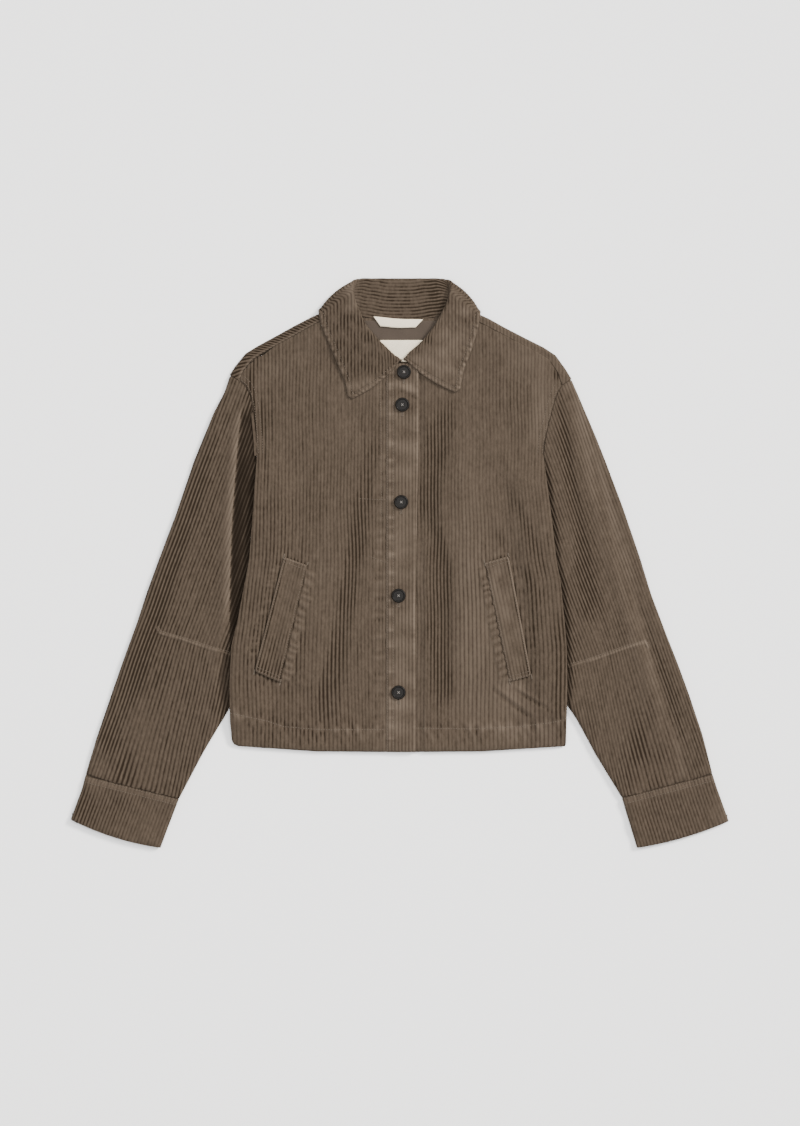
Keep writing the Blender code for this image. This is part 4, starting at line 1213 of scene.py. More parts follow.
def placket(name, material):
    """Buttonhole band on the right front's edge, with its rows of stitching pressed in."""
    xs = PLACKET_LEFT + np.arange(48) * PITCH / PER_WALE
    y = np.linspace(-251.8, PLACKET_TOP, 170)[:, None]
    right = mix(21.5, 25.0, ease(-60, 200, y)) - 0.8 * ease(0, -60, y) * ease(-180, -60, y)
    x = np.minimum(xs + 0.7 * drift(81, 120.0, xs, y) * ease(0, 8, xs - PLACKET_LEFT), right)
    x[:, -1] = right[:, 0]
    y = np.broadcast_to(y, x.shape)
    z = front_top(x, y) + PLACKET_PROUD + 0.25 * drift(82, 45.0, x, y)
    for offset in PLACKET_ROWS:
        z = z - 0.4 * hump(x - PLACKET_LEFT - offset, 1.1)
    ripple = hump(x - PLACKET_LEFT - 5.5, 5.5) * drift(83, 7.5, y)
    ripple = ripple + 0.8 * hump(x - right, 5.0) * drift(84, 8.5, y)
    creases = folds_across(PLACKET_CREASES, x, y)
    z = z + 0.65 * ripple + creases
    z = z - 0.5 * hump(y - read_hem(x), 1.5) - 1.4 * ease(-248.5, -252.0, y)
    z = z - 0.7 * ease(1.6, 0.0, right - x) - 1.1 * ease(2.6, 0.0, x - PLACKET_LEFT)
    phase = x / PITCH + 0.4
    z = z + 0.5 * (wale_profile(phase) - 1.0)
    edges = 0.35 * hump(x - PLACKET_LEFT - 1.0, 1.6) + 0.45 * hump(right - x - 1.0, 1.5)
    edges = edges - 0.3 * hump(x - PLACKET_LEFT - PLACKET_ROWS[1], 1.3)
    # painted light and shade that follow the ripples, and painted shade in the creases
    tone = painted_light_and_wear(x, y) + 0.2 + 0.4 * ripple + 0.3 * np.abs(ripple) + painted_fold_shade(creases) * 1.5
    tone = tone + edges + 0.2 * drift(85, 40.0, x, y)
    piece = Cloth(name)
    piece.add(np.stack([x, y, z], axis=-1), phase, tone, brushed=brushed(x, y))
    piece.rim([(0.1, 0.8), (0.3, 2.4), (3.0, 2.6)])
    piece.finish(material)


def folds_across(table, x, y):
    """Troughs and ridges that run more across than along, read at each x."""
    total = 0.0
    for fold in table:
        xs = column(fold, "x")
        fade = ease(xs.min() - 6, xs.min(), x) * ease(xs.max() + 6, xs.max(), x)
        reach = (y - read(fold, "x", "y", x)) / read(fold, "x", "width", x)
        total = total - read(fold, "x", "depth", x) * np.exp(-reach * reach) * fade
    return total


def read_hem(x):
    """Height of the hem's stitching."""
    line = np.array(HEM_STITCH, float)
    return np.interp(x, line[:, 0], line[:, 1])


def smooth_front(x, y):
    """Height of the fronts without their small puckers."""
    return front_top(x, y) + folds(FRONT_CREASES, x, y) + 0.35 * drift(11, 70.0, x, y)


def welt(name, material):
    """A slanted pocket welt, two layers thick, its wales running along it."""
    low, low_end, high_end, high = [np.array(p, float) for p in WELTS[name]]
    side = -1 if low[0] < 0 else 1
    width = np.linalg.norm(low_end - low)
    u = np.linspace(0.0, 1.0, int(width / PITCH * PER_WALE) + 1)[None, :, None]
    v = np.linspace(0.0, 1.0, 60)[:, None, None]
    plan = mix(mix(low, low_end, u), mix(high, high_end, u), v)
    across, up = u[..., 0] * width, v[..., 0] * np.linalg.norm(high - low)
    outer = across if side < 0 else width - across
    inner = width - outer
    _, full, _ = rungs(name, plan[..., 0], plan[..., 1])
    corner = 2.2 * np.exp(-outer / 1.8) * (np.exp(-up / 1.8) + np.exp((up - up.max()) / 1.8))
    plan[..., 0] += side * (1.8 * full - 0.9) * ease(5.0, 0.0, inner) - side * corner
    x, y = plan[..., 0], plan[..., 1]
    z = smooth_front(x, y) + 3.0 + 0.3 * drift(91, 30.0, x, y) - 1.5 * ease(6.0, 0.0, inner)
    z = z - 0.35 * hump(outer - 2.2, 1.0) - 0.8 * ease(1.3, 0.0, outer)
    z = z - 0.35 * hump(up - 3.0, 1.2) - 0.35 * hump(up - up.max() + 3.0, 1.2)
    phase = np.broadcast_to(across / PITCH + 0.15, x.shape)
    z = z + 0.35 * (wale_profile(phase) - 1.0)
    ends = np.minimum(up, up.max() - up)
    tone = painted_light_and_wear(x, y) + 0.15 * drift(92, 30.0, x, y)
    tone = tone + 0.8 * hump(outer - 0.5, 1.1) + 0.8 * hump(ends - 0.5, 1.4)
    tone = tone - 0.3 * hump(outer - 2.6, 1.0) - 0.15 * hump(up, 16.0) * ease(1.0, 3.0, ends)
    flat_nap = 0.75 * ease(4.0, 9.0, outer) * ease(12.0, 45.0, up)
    flat_nap = flat_nap * (0.8 + 0.3 * drift(90, 30.0, x, y))
    piece = Cloth(name)
    piece.add(np.stack([x, y, z], axis=-1), phase, tone, brushed=flat_nap)
    piece.rim([(0.1, 0.8), (0.2, 2.5), (2.0, 2.6)])
    piece.finish(material)


# Collar and neck

# turn goes from 0, the fall on top at the front, to 180, the fall underneath at the back
Collar = namedtuple("Collar", "seam_x seam_y roll_x roll_y edge_x edge_y turn bow")
COLLARS = {
    -1: [Collar(-4.5, 268, 3.0, 270.0, -62.5, 219, 0, -5),
         Collar(-9, 268.2, 0.0, 272.0, -69, 223.5, 0, -3),
         Collar(-20, 269, -10, 279.5, -71, 236, 0, 0),
         Collar(-33.5, 281, -26, 295, -79.5, 258, 0, 0),
         Collar(-53, 300, -41, 313, -92, 288.5, 0, 0),
         Collar(-68, 319, -53, 335, -102, 312, 0, 0), Collar(-78, 330, -60, 355, -106, 326, 14, 0),
         Collar(-83, 336, -61, 367, -107.6, 331.5, 45, 2),
         Collar(-83.5, 340, -59, 376, -108.2, 336, 90, 4),
         Collar(-79, 340, -52, 379, -103, 334, 165, 3),
         Collar(-66, 334.5, -42, 379.3, -82, 322, 180, 0),
         Collar(-44, 327.5, -27, 379.3, -52, 316, 180, 0),
         Collar(-15, 325, -10, 379.3, -18, 314, 180, 0)],
    1: [Collar(9.0, 270, 4.6, 271.5, 73.5, 227.5, 0, 4),
        Collar(13, 271.5, 7.5, 274.0, 80, 232.0, 0, 2),
        Collar(22, 275, 16, 283, 82, 242, 0, 0),
        Collar(36, 283, 30, 296, 85.5, 258, 0, 0), Collar(53, 300, 45, 315, 95, 283, 0, 0),
        Collar(68, 318, 57, 337, 103, 310, 0, 0), Collar(78, 329, 64, 356, 106, 324, 14, 0),
        Collar(83, 335, 66.5, 367, 107.6, 329, 45, -2),
        Collar(83.5, 339, 66, 375.5, 108, 333, 90, -4),
        Collar(79, 339, 58, 378.5, 103, 332, 165, -3), Collar(66, 334, 45, 379.3, 82, 321, 180, 0),
        Collar(44, 327.5, 28, 379.3, 52, 316, 180, 0),
        Collar(15, 325, 10, 379.3, 18, 314, 180, 0)],
}
COLLAR_ACROSS = 104


def collar_section(side, row):
    """Points of the upper face from the neck seam over the roll to the edge, as in the part."""
    seam = np.array([row.seam_x, row.seam_y, 0.0])
    roll = np.array([row.roll_x, row.roll_y, 0.0])
    edge = np.array([row.edge_x, row.edge_y, 0.0])
    forward = (roll - seam) / np.linalg.norm(roll - seam)
    outward = np.array([-forward[1], forward[0], 0.0]) * -side
    turn = math.radians(row.turn)
    across = np.array([0.0, 0.0, 1.0]) * math.cos(turn) + outward * math.sin(turn)
    back_share = (1 - math.cos(turn)) / 2
    leaf_height = lift(row.edge_x, row.edge_y) + BODY_HEIGHT
    roll_height = lift(row.roll_x, min(row.roll_y, 330)) + BODY_HEIGHT
    inside = FALL_LIFT + LAYER + 0.5
    seam[2] = mix(lift(row.seam_x, row.seam_y) + BODY_HEIGHT - 2.2, inside, back_share)
    centre = roll - forward * ROLL_RADIUS
    centre[2] = mix(roll_height + 1.6, ROLL_RADIUS, back_share)
    edge[2] = mix(leaf_height + 3.4, 0.0, back_share)
    fall = centre + across * ROLL_RADIUS
    line = [seam, mix(seam, centre - across * ROLL_RADIUS, 0.5)]
    for degrees in (-90, -45, 0, 45, 90):
        angle = math.radians(degrees)
        line.append(centre + (forward * math.cos(angle) + across * math.sin(angle)) * ROLL_RADIUS)
    run = edge - fall
    sideways = np.array([run[1], -run[0], 0.0]) / np.linalg.norm(run[:2]) * row.bow
    for share in (0.33, 0.67, 1.0):
        line.append(mix(fall, edge, share) + sideways * 4 * share * (1 - share))
    return curve_through(line, 12)


def even(points, count):
    """A line's points, spread evenly along it."""
    steps = np.concatenate([[0.0], np.cumsum(np.linalg.norm(np.diff(points, axis=0), axis=1))])
    at = np.linspace(0.0, steps[-1], count)
    return np.stack([np.interp(at, steps, points[:, k]) for k in range(3)], axis=1)


def collar_grid():
    """The collar's upper face as rows across it.

    Also how each row turns, how far each point is from the outer edge, and how far each row
    is along it.
    """
    stations = [(-1, row) for row in COLLARS[-1]] + [(1, row) for row in COLLARS[1][::-1]]
    sections = np.array([even(collar_section(side, row), COLLAR_ACROSS) for side, row in stations])
    count, across = sections.shape[:2]
    between = 16
    smooth = curve_through(sections.reshape(count, -1), between).reshape(-1, across, 3)
    edge_steps = np.linalg.norm(np.diff(smooth[:, -25:].mean(axis=1), axis=0), axis=1)
    at = np.concatenate([[0.0], np.cumsum(edge_steps + 0.15)])
    rows = 400
    pick = np.interp(np.linspace(0, at[-1], rows), at, np.arange(len(smooth)))
    low = np.minimum(pick.astype(int), len(smooth) - 2)
    points = mix(smooth[low], smooth[low + 1], (pick - low)[:, None, None])
    turned = np.interp(pick / between, np.arange(count), [row.turn for _, row in stations])[:, None]
    points[..., 2] = np.maximum(points[..., 2], 0.05)
    spans = np.linalg.norm(np.diff(points, axis=1), axis=2)
    from_edge = np.cumsum(spans[:, ::-1], axis=1)[:, ::-1]
    from_edge = np.concatenate([from_edge, np.zeros((rows, 1))], axis=1)
    steps = np.linalg.norm(np.diff(points[:, -20], axis=0), axis=1)
    run = np.concatenate([[0.0], np.cumsum(steps)])[:, None]
    return points, turned, from_edge, run


def collar(name, material):
    """The collar: its upper face, its under face and the rounded edges between them."""
    points, turned, from_edge, run = collar_grid()
    rows, across = points.shape[:2]
    x, y = points[..., 0], points[..., 1]
    roll = across - int(across * 0.62)
    share = ease(20.0, 60.0, turned)
    upright = 106.0 - np.abs(x)
    over_roll = upright[:, [roll]] + from_edge - from_edge[:, [roll]]
    leaf_grain = np.where(from_edge < from_edge[:, [roll]], upright, over_roll)
    phase = mix(leaf_grain, from_edge, share) / PITCH
    normal = normals_of(points)
    if normal[5, across - 10, 2] < 0:
        normal = -normal
    end = np.minimum(run, run[-1] - run)
    rim = np.minimum(from_edge, end)
    around = np.where(end < from_edge, from_edge, run)
    pucker = settings().cloth.pucker
    relief = 0.6 * (wale_profile(phase) - 1.0) - 0.45 * hump(rim - COLLAR_ROW, 1.0)
    relief = relief - 0.7 * ease(1.8, 0.0, rim)
    relief = relief + pucker * (0.55 * hump(rim - 2.5, 4.0) * drift(93, 5.5, around)
                                + 0.4 * hump(rim - 10.0, 6.0) * drift(95, 11.0, around))
    relief = relief + 0.6 * drift(94, 40.0, x, y) * (turned < 30)
    top = points + normal * relief[..., None]
    top[..., 2] = np.maximum(top[..., 2], 0.05)
    tone = painted_light_and_wear(x, y) + 0.18 * drift(96, 26.0, x, y) + 0.07 * drift(89, 9.0, x, y)
    tone = tone + 0.45 * hump(rim - 1.5, 2.5) * (1.0 + 0.8 * drift(99, 6.0, around))
    tone = tone - 0.3 * hump(rim - COLLAR_ROW, 1.0)
    # painted shade: the leaf at -X, which faces away from the key light, darker, and the turned
    # stand and fall at the back darker
    tone = tone + np.where(x > 0, -0.02, -0.28) * (1 - share) - 0.12 * share
    piece = Cloth(name)
    piece.add(top, phase, tone, flip=True, brushed=np.where(x < 0, 0.25, 0.0) * (1 - share))
    under = points - normal * 2.5
    under[..., 2] = np.maximum(under[..., 2], 0.05)
    piece.add(under[::3, ::3], 0.5)
    borders = ((top[0], under[0]), (top[:, -1], under[:, -1]), (top[-1, ::-1], under[-1, ::-1]))
    for line, other in borders:
        out = np.cross(np.gradient(line, axis=0), line - other)
        out /= np.maximum(np.linalg.norm(out, axis=1, keepdims=True), 1e-6)
        inwards = top[rows // 2, across // 2] - line
        out *= -np.sign((out * inwards).sum(axis=1, keepdims=True))
        strip = np.array([mix(line, other, down) + out * 0.9 * math.sin(math.pi * down)
                          for down in (0, 0.2, 0.5, 0.8, 1.0)])
        strip[..., 2] = np.maximum(strip[..., 2], 0.02)
        piece.add(strip, 0.5, 0.1)
    piece.finish(material)


def collar_rows(depth=COLLAR_ROW):
    """Paths for the topstitching of the leaves, this far inside their edges."""
    points, turned, from_edge, run = collar_grid()
    rows, sewn = len(points), []
    end = np.minimum(run, run[-1] - run)[:, 0]
    pick = np.abs(from_edge - depth).argmin(axis=1)
    for half in (range(rows // 2), range(rows // 2, rows)):
        inside = [r for r in half if end[r] > depth and turned[r, 0] < 60]
        sewn.append(points[inside, pick[inside]][:, :2])
    first = np.abs(run[:, 0] - depth).argmin()
    last = np.abs(run[:, 0] - run[-1, 0] + depth).argmin()
    for row in (first, last):
        sewn.append(points[row][(from_edge[row] > depth) & (from_edge[row] < 66.0)][:, :2])
    return sewn


def inside_back(x, y):
    """Height of the back's inner face."""
    return lift(x, y) + LAYER


def neck_pieces(facing_look, tape_look):
    """Facing inside the back neck, with the hanger loop and the bare label on it."""
    v = np.linspace(0.0, 1.0, 30)[:, None]
    u = np.linspace(-1.0, 1.0, 61)[None]
    x, y = mix(60.0, 30.0, v) * u, np.broadcast_to(mix(322.5, 278.0, v), (30, 61))
    z = inside_back(x, y) + 1.3 + 0.3 * drift(97, 24.0, x, y)
    piece = Cloth("neck_facing")
    piece.add(np.stack([x, y, z], axis=-1), 0.5, flip=True)
    piece.rim([(0.1, 0.7), (2.0, 0.8)])
    piece.finish(facing_look, "facing")
    corners = [(-35.0, 328.0), (31.0, 324.0), (21.0, 313.3), (-25.5, 314.8)]
    a, b, c, d = [np.array(p) for p in corners]
    u, v = np.linspace(0, 1, 61)[None, :, None], np.linspace(0, 1, 9)[:, None, None]
    plan = mix(mix(a, b, u), mix(d, c, u), v)
    arch = np.sin(math.pi * u[..., 0])
    plan[..., 1] -= 1.2 * arch ** 2
    x, y = plan[..., 0], plan[..., 1]
    z = inside_back(x, y) + 3.1 + 0.8 * arch - 0.5 * np.abs(2 * v[..., 0] - 1) ** 3
    loop = Cloth("hanger_loop")
    loop.add(np.stack([x, y, z], axis=-1), 0.5, flip=True)
    loop.rim([(0.0, 0.6), (0.6, 1.1)])
    loop.finish(tape_look, "tape")
    v, u = np.linspace(0, 1, 24)[:, None], np.linspace(-26.0, 31.0, 50)[None]
    x, y = np.broadcast_to(u, (24, 50)), np.broadcast_to(mix(296.5, 268.0, v), (24, 50))
    z = inside_back(x, y) + 2.4 + 0.25 * drift(98, 30.0, x, y)
    label = Cloth("label")
    label.add(np.stack([x, y, z], axis=-1), 0.5, flip=True)
    label.rim([(0.0, 0.5), (1.0, 0.6)])
    label.finish(tape_look, "tape")


# Buttons

def plain(obj, name):
    """Names the object just made and brings its origin and turn back to the world's."""
    obj.name = name
    bpy.ops.object.transform_apply(location=True, rotation=True, scale=True)
    return obj


def joined(piece, others):
    """A piece with others joined to it."""
    bpy.ops.object.select_all(action="DESELECT")
    for each in (piece, *others):
        each.select_set(True)
    bpy.context.view_layer.objects.active = piece
    bpy.ops.object.join()
    return piece


def button_model(look):
    """A four-hole button: a dished disc with a raised, rounded rim, standing at the origin."""
    sides = 44
    bpy.ops.object.select_all(action="DESELECT")
    bpy.ops.mesh.primitive_torus_add(major_radius=BUTTON_RADIUS * MM, major_segments=sides,
                                     minor_radius=RIM_RADIUS * MM, minor_segments=12,
                                     location=(0, 0, 1.95 * MM))
    rim = plain(bpy.context.object, "button_rim")
    bpy.ops.mesh.primitive_cylinder_add(vertices=sides, radius=BUTTON_RADIUS * MM, depth=1.9 * MM,
                                        location=(0, 0, 1.25 * MM))
    disc = plain(bpy.context.object, "button_disc")
    for x in (-HOLE_SPACING, HOLE_SPACING):
        for y in (-HOLE_SPACING, HOLE_SPACING):
            bpy.ops.object.select_all(action="DESELECT")
            bpy.ops.mesh.primitive_cylinder_add(vertices=14, radius=HOLE_RADIUS * MM, depth=6 * MM,
                                                location=(x * MM, y * MM, 1.2 * MM))
            hole = plain(bpy.context.object, "button_hole")
            bpy.context.view_layer.objects.active = disc
            cut = disc.modifiers.new("hole", "BOOLEAN")
            cut.object = hole
            cut.operation = "DIFFERENCE"
            bpy.ops.object.modifier_apply(modifier=cut.name)
            bpy.data.objects.remove(hole)
    joined(disc, [rim])
    bpy.ops.object.shade_smooth_by_angle(angle=math.radians(50))
    disc.data.materials.append(look)
    return disc


def thread_model(look):
    """Crossed thread between the four holes, standing at the origin."""
    bars = []
    bpy.ops.object.select_all(action="DESELECT")
    for turn in (math.pi / 4, -math.pi / 4):
        bpy.ops.mesh.primitive_cylinder_add(
            vertices=10, radius=BAR_RADIUS * MM, depth=HOLE_SPACING * 2.9 * MM,
            location=(0, 0, 2.45 * MM), rotation=(math.pi / 2, 0, turn))
        bars.append(plain(bpy.context.object, "thread_bar"))
    cross = joined(bars[-1], bars[:-1])
    cross.data.materials.append(look)
    bpy.ops.object.shade_smooth_by_angle(angle=math.radians(60))
    return cross


def copies(model, names, places):
    """Moves copies of a model, each with its own mesh, to their places; the model itself goes."""
    made = []
    for name, place in zip(names, places):
        bpy.ops.object.select_all(action="DESELECT")
        model.select_set(True)
        bpy.context.view_layer.objects.active = model
        bpy.ops.object.duplicate(linked=False)
        bpy.ops.transform.translate(value=tuple(c * MM for c in place))
        made.append(plain(bpy.context.object, name))
    bpy.data.objects.remove(model)
    return made


def buttons(horn_look, thread_look):
    """The five buttons, and in one piece the thread that holds them."""
    places = [(x, y, float(front_top(x, y)) + PLACKET_PROUD + 0.35) for x, y in BUTTONS]
    numbers = range(1, len(BUTTONS) + 1)
    horns = copies(button_model(horn_look), ["button_%d_horn" % n for n in numbers], places)
    for number, piece in zip(numbers, horns):
        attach(piece, "root")
        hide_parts("button_%d" % number)
    threads = copies(thread_model(thread_look), ["thread_%d" % n for n in numbers], places)
    joined(threads[0], threads[1:])
    threads[0].name = "button_threads"
    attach(threads[0], "root")


# Stitches

class Stitching:
    """Rows of stitches, each laid on the cloth that it is sewn to."""

    def __init__(self, pieces):
        self.trees = []
        for name in pieces:
            mesh = bpy.data.objects[name + "_cloth"].data
            points = np.empty(len(mesh.vertices) * 3)
            mesh.vertices.foreach_get("co", points)
            faces = [tuple(face.vertices) for face in mesh.polygons]
            self.trees.append(BVHTree.FromPolygons(points.reshape(-1, 3).tolist(), faces))
        self.ends = []

    def height(self, x, y):
        """Height of the cloth at a spot, or 0 beside it."""
        found = 0.0
        for tree in self.trees:
            hit = tree.ray_cast(Vector((x * MM, y * MM, 0.06)), Vector((0, 0, -1)))[0]
            if hit is not None:
                found = max(found, hit.z / MM)
        return found

    def row(self, path, shift=0.0, length=None, gap=None, start=0.0, end=0.0, across=False):
        """Stitches along a path, or square to it; shift moves them to its left."""
        length = length or settings().sewing.length / MM
        gap = gap or settings().sewing.gap / MM
        spots, ways = along(path, gap if across else length + gap, start, end)
        for spot, way in zip(spots, ways):
            left = np.array([-way[1], way[0]])
            middle = spot + left * shift
            half = (left if across else way) * length / 2
            tips = [(x, y, self.height(x, y)) for x, y in (middle - half, middle + half)]
            if min(tips[0][2], tips[1][2]) > 0.5 and abs(tips[0][2] - tips[1][2]) < 1.6:
                self.ends.append(tips)

    def finish(self, name, material):
        """One mesh of all the stitches, each a small blunt-ended bead of thread."""
        radius = settings().sewing.radius / MM
        bpy.ops.object.select_all(action="DESELECT")
        bpy.ops.mesh.primitive_uv_sphere_add(segments=6, ring_count=4, radius=1.0,
                                             rotation=(0, math.pi / 2, 0))
        model = plain(bpy.context.object, "stitch_model")
        shape = np.array([v.co[:] for v in model.data.vertices])
        faces = [list(face.vertices) for face in model.data.polygons]
        bpy.data.objects.remove(model)
        points, polygons = [], []
        for low, high in np.array(self.ends):
            way = high - low
            half = np.linalg.norm(way) / 2
            way = way / (2 * half)
            left = np.array([-way[1], way[0], 0.0])
            left /= np.linalg.norm(left)
            up = np.cross(way, left)
            body = np.sign(shape[:, :1]) * np.abs(shape[:, :1]) ** 0.6 * half * way
            spot = (low + high) / 2 + body
            spot = spot + shape[:, 1:2] * radius * left + shape[:, 2:3] * radius * up
            polygons += [[corner + len(points) * len(shape) for corner in face] for face in faces]
            points.append(spot + up * radius * 0.25)
        mesh = bpy.data.meshes.new(name)
        mesh.from_pydata((np.concatenate(points) * MM).tolist(), [], polygons)
        mesh.shade_smooth()
        mesh.materials.append(material)
        piece = bpy.data.objects.new(name, mesh)
        bpy.context.collection.objects.link(piece)
        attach(piece, "root")


def moved(path, across):
    """A path moved square to itself, to its left."""
    path = np.array(path, float)
    way = np.gradient(path, axis=0)
    way /= np.linalg.norm(way, axis=1, keepdims=True)
    return path + np.stack([-way[:, 1], way[:, 0]], axis=1) * across


def stitches(look):
    """Topstitching of collar, placket, body and sleeves, and the buttonholes."""
    sewing = Stitching(["collar"])
    for path in collar_rows():
        sewing.row(path)
    sewing.finish("stitches_collar", look)
    sewing = Stitching(["placket"])
    band = [(PLACKET_LEFT, -249.0), (PLACKET_LEFT, 262.0)]
    for offset in PLACKET_ROWS:
        sewing.row(band, -offset)
    for x, y in BUTTONS:
        for edge in (x - 0.85, x + 0.85):
            sewing.row([(edge, y + reach) for reach in BUTTONHOLE],
                       length=1.5, gap=0.75, across=True)
        sewing.row([(x - 1.6, y - 15.0), (x + 1.6, y - 15.0)], length=1.3, gap=0.75, across=True)
    sewing.finish("stitches_placket", look)
    sewing = Stitching(["front_right", "front_left", "welt_right", "welt_left"])
    sewing.row(HEM_STITCH, start=2.0)
    sewing.row([(-41, 9), (-20, 1)])
    sewing.row([(-53, 85.5), (-20, 84)])
    sewing.row([(-27, 262), (-25, 175), (-24, 60)], start=4)
    for corners in WELTS.values():
        loop = [np.array(corner, float) for corner in corners]
        low, _, high_end, high = loop
        middle = (low + high_end) / 2
        tack = (high - low) / np.linalg.norm(high - low) * 4.0
        for start, end in zip(loop, loop[1:] + loop[:1]):
            turn = 1.0 if np.cross(end - start, middle - start) > 0 else -1.0
            sewing.row([start, end], 2.2 * turn, start=3.0, end=-3.0)
            if np.linalg.norm(end - start) < WELT_LONG:
                sewing.row([start, end], 6.5 * turn, start=3.0, end=-3.0)
                for spot in (start, end):
                    sewing.row([spot - tack, spot + tack], length=2.2, gap=0.7, across=True)
    for side in (-1, 1):
        seam = curve_through(np.array(ARMHOLE[side], float), 4)
        for off in (2.0, 8.0):
            sewing.row(seam, off * side, start=4.0, end=-4.0)
        sewing.row(shoulder_seam(side), -2.2 * side, start=3.0)
    sewing.finish("stitches_body", look)
    sewing = Stitching(["sleeve_right", "sleeve_left", "cuff_right", "cuff_left"])
    for side in (-1, 1):
        sewing.row(moved(ELBOWS[side], 2.6 * -side), start=2.0, end=-2.0)
        outer, inner, _ = sleeve_outline(side)
        for off in (2.4, 8.6):
            sewing.row([outer[-1], inner[-1]], off * side, start=2.5, end=-2.5)
    sewing.finish("stitches_sleeves", look)


# Stage

TOP_POWER = 110.0
KEY_STRENGTH = 5.7
FILL_STRENGTH = 0.9
KEY_SPREAD = math.radians(16)      # how soft the key light's shadows are
KEY_COLOUR = (1.0, 0.97, 0.93)
FLOOR_COLOUR = (0.94, 0.94, 0.94)
FLOOR_SIZE = 80.0
CAMERA_HEIGHT = 4.008
CAMERA_LENS = 96.12                # for a sensor 36 mm high


def lamp(data, location):
    """Hangs a light up, aimed at the origin."""
    made = bpy.data.objects.new(data.name, data)
    bpy.context.collection.objects.link(made)
    made.location = location
    made.rotation_euler = (-made.location).to_track_quat("-Z", "Y").to_euler()


def stage():
    """Pale floor, soft studio light and the camera straight above."""
    bpy.ops.object.select_all(action="DESELECT")
    bpy.ops.mesh.primitive_plane_add(size=FLOOR_SIZE, location=(0.0, 0.0, -0.0005))
    floor = bpy.context.object
    floor.name = "floor"
    floor.data.materials.append(look("sweep"))
    top = bpy.data.lights.new("top", "AREA")
    top.shape = "DISK"
    top.size = 2.6
    top.energy = settings().stage.top_power
    lamp(top, (0.0, 0.3, 3.0))
    key = bpy.data.lights.new("key", "SUN")
    key.energy = settings().stage.key_strength
    key.angle = KEY_SPREAD
    key.color = KEY_COLOUR
    lamp(key, (1.5, 1.0, 1.25))
    world = bpy.data.worlds.new("studio")
    bpy.context.scene.world = world
    world.use_nodes = True
    sky = world.node_tree.nodes["Background"]
    sky.inputs["Color"].default_value = (1.0, 1.0, 1.0, 1.0)
    sky.inputs["Strength"].default_value = settings().stage.fill
    camera = bpy.data.cameras.new("camera")
    camera.sensor_fit = "VERTICAL"
    camera.sensor_height = 36.0
    camera.lens = CAMERA_LENS
    eye = bpy.data.objects.new("camera", camera)
    bpy.context.collection.objects.link(eye)
    eye.location = (0.0004, -0.0001, settings().stage.camera_height)
    bpy.context.scene.camera = eye


# Add-on

def settings():
    """The overshirt's settings, as the panel shows them."""
    return bpy.context.scene.overshirt


def look(kind):
    """The overshirt's own material of a kind, made when it is first asked for."""
    name = "overshirt " + kind
    if name in bpy.data.materials:
        return bpy.data.materials[name]
    chosen = settings()
    makers = {
        "corduroy": lambda: corduroy(name, tuple(chosen.colours.corduroy)),
        "facing": lambda: woven(name, tuple(chosen.colours.facing)),
        "tape": lambda: woven(name, tuple(chosen.colours.tape), 0.0006),
        "thread": lambda: woven(name, tuple(chosen.colours.thread), 0.0005),
        "button_thread": lambda: woven(name, tuple(chosen.colours.button_thread), 0.0005),
        "horn": lambda: horn(name, tuple(chosen.colours.horn)),
        "sweep": lambda: backdrop(name, tuple(chosen.stage.floor)),
    }
    return makers[kind]()


def colour_property(name, description, default):
    """A colour in the panel."""
    return FloatVectorProperty(name=name, description=description, default=default,
                               subtype="COLOR", size=3, min=0.0, max=1.0)


class OvershirtColours(bpy.types.PropertyGroup):
    corduroy: colour_property("Corduroy", "Body colour of the pile", CORDUROY_COLOUR)
    facing: colour_property("Facing", "Colour of the smooth cloth inside the neck", FACING_COLOUR)
    tape: colour_property("Tape", "Colour of the hanger loop and the bare label", TAPE_COLOUR)
    thread: colour_property("Thread", "Colour of the stitching", THREAD_COLOUR)
    button_thread: colour_property("Button thread", "Colour of the thread that holds the buttons",
                                   BUTTON_THREAD_COLOUR)
    horn: colour_property("Horn", "Colour of the buttons", HORN_COLOUR)


class OvershirtCloth(bpy.types.PropertyGroup):
    wale_height: FloatProperty(name="Wale height", description="Height of a wale above its grooves",
                               default=0.0006, min=0.0, max=0.0015, unit="LENGTH")
    pucker: FloatProperty(name="Pucker", description="How strongly seams gather the cloth",
                          default=1.0, min=0.0, max=2.0, subtype="FACTOR")


class OvershirtSewing(bpy.types.PropertyGroup):
    length: FloatProperty(name="Stitch length", description="Length of a stitch that shows",
                          default=0.0025, min=0.001, max=0.006, unit="LENGTH")
    gap: FloatProperty(name="Gap", description="Space between two stitches",
                       default=0.0009, min=0.0003, max=0.004, unit="LENGTH")
    radius: FloatProperty(name="Thread radius", description="Half the thickness of the thread",
                          default=0.00042, min=0.0001, max=0.001, unit="LENGTH")


class OvershirtStage(bpy.types.PropertyGroup):
    floor: colour_property("Floor", "Colour of the floor", FLOOR_COLOUR)
    top_power: FloatProperty(name="Top light", description="Power of the wide light overhead",
                             default=TOP_POWER, min=0.0, max=1000.0, unit="POWER")
    key_strength: FloatProperty(name="Key light",
                                description="Strength of the light from the upper right",
                                default=KEY_STRENGTH, min=0.0, max=20.0)
    fill: FloatProperty(name="Fill", description="Strength of the light from all round",
                        default=FILL_STRENGTH, min=0.0, max=5.0)
    camera_height: FloatProperty(name="Camera height",
                                 description="Height of the camera above the floor",
                                 default=CAMERA_HEIGHT, min=1.0, max=10.0, unit="LENGTH")


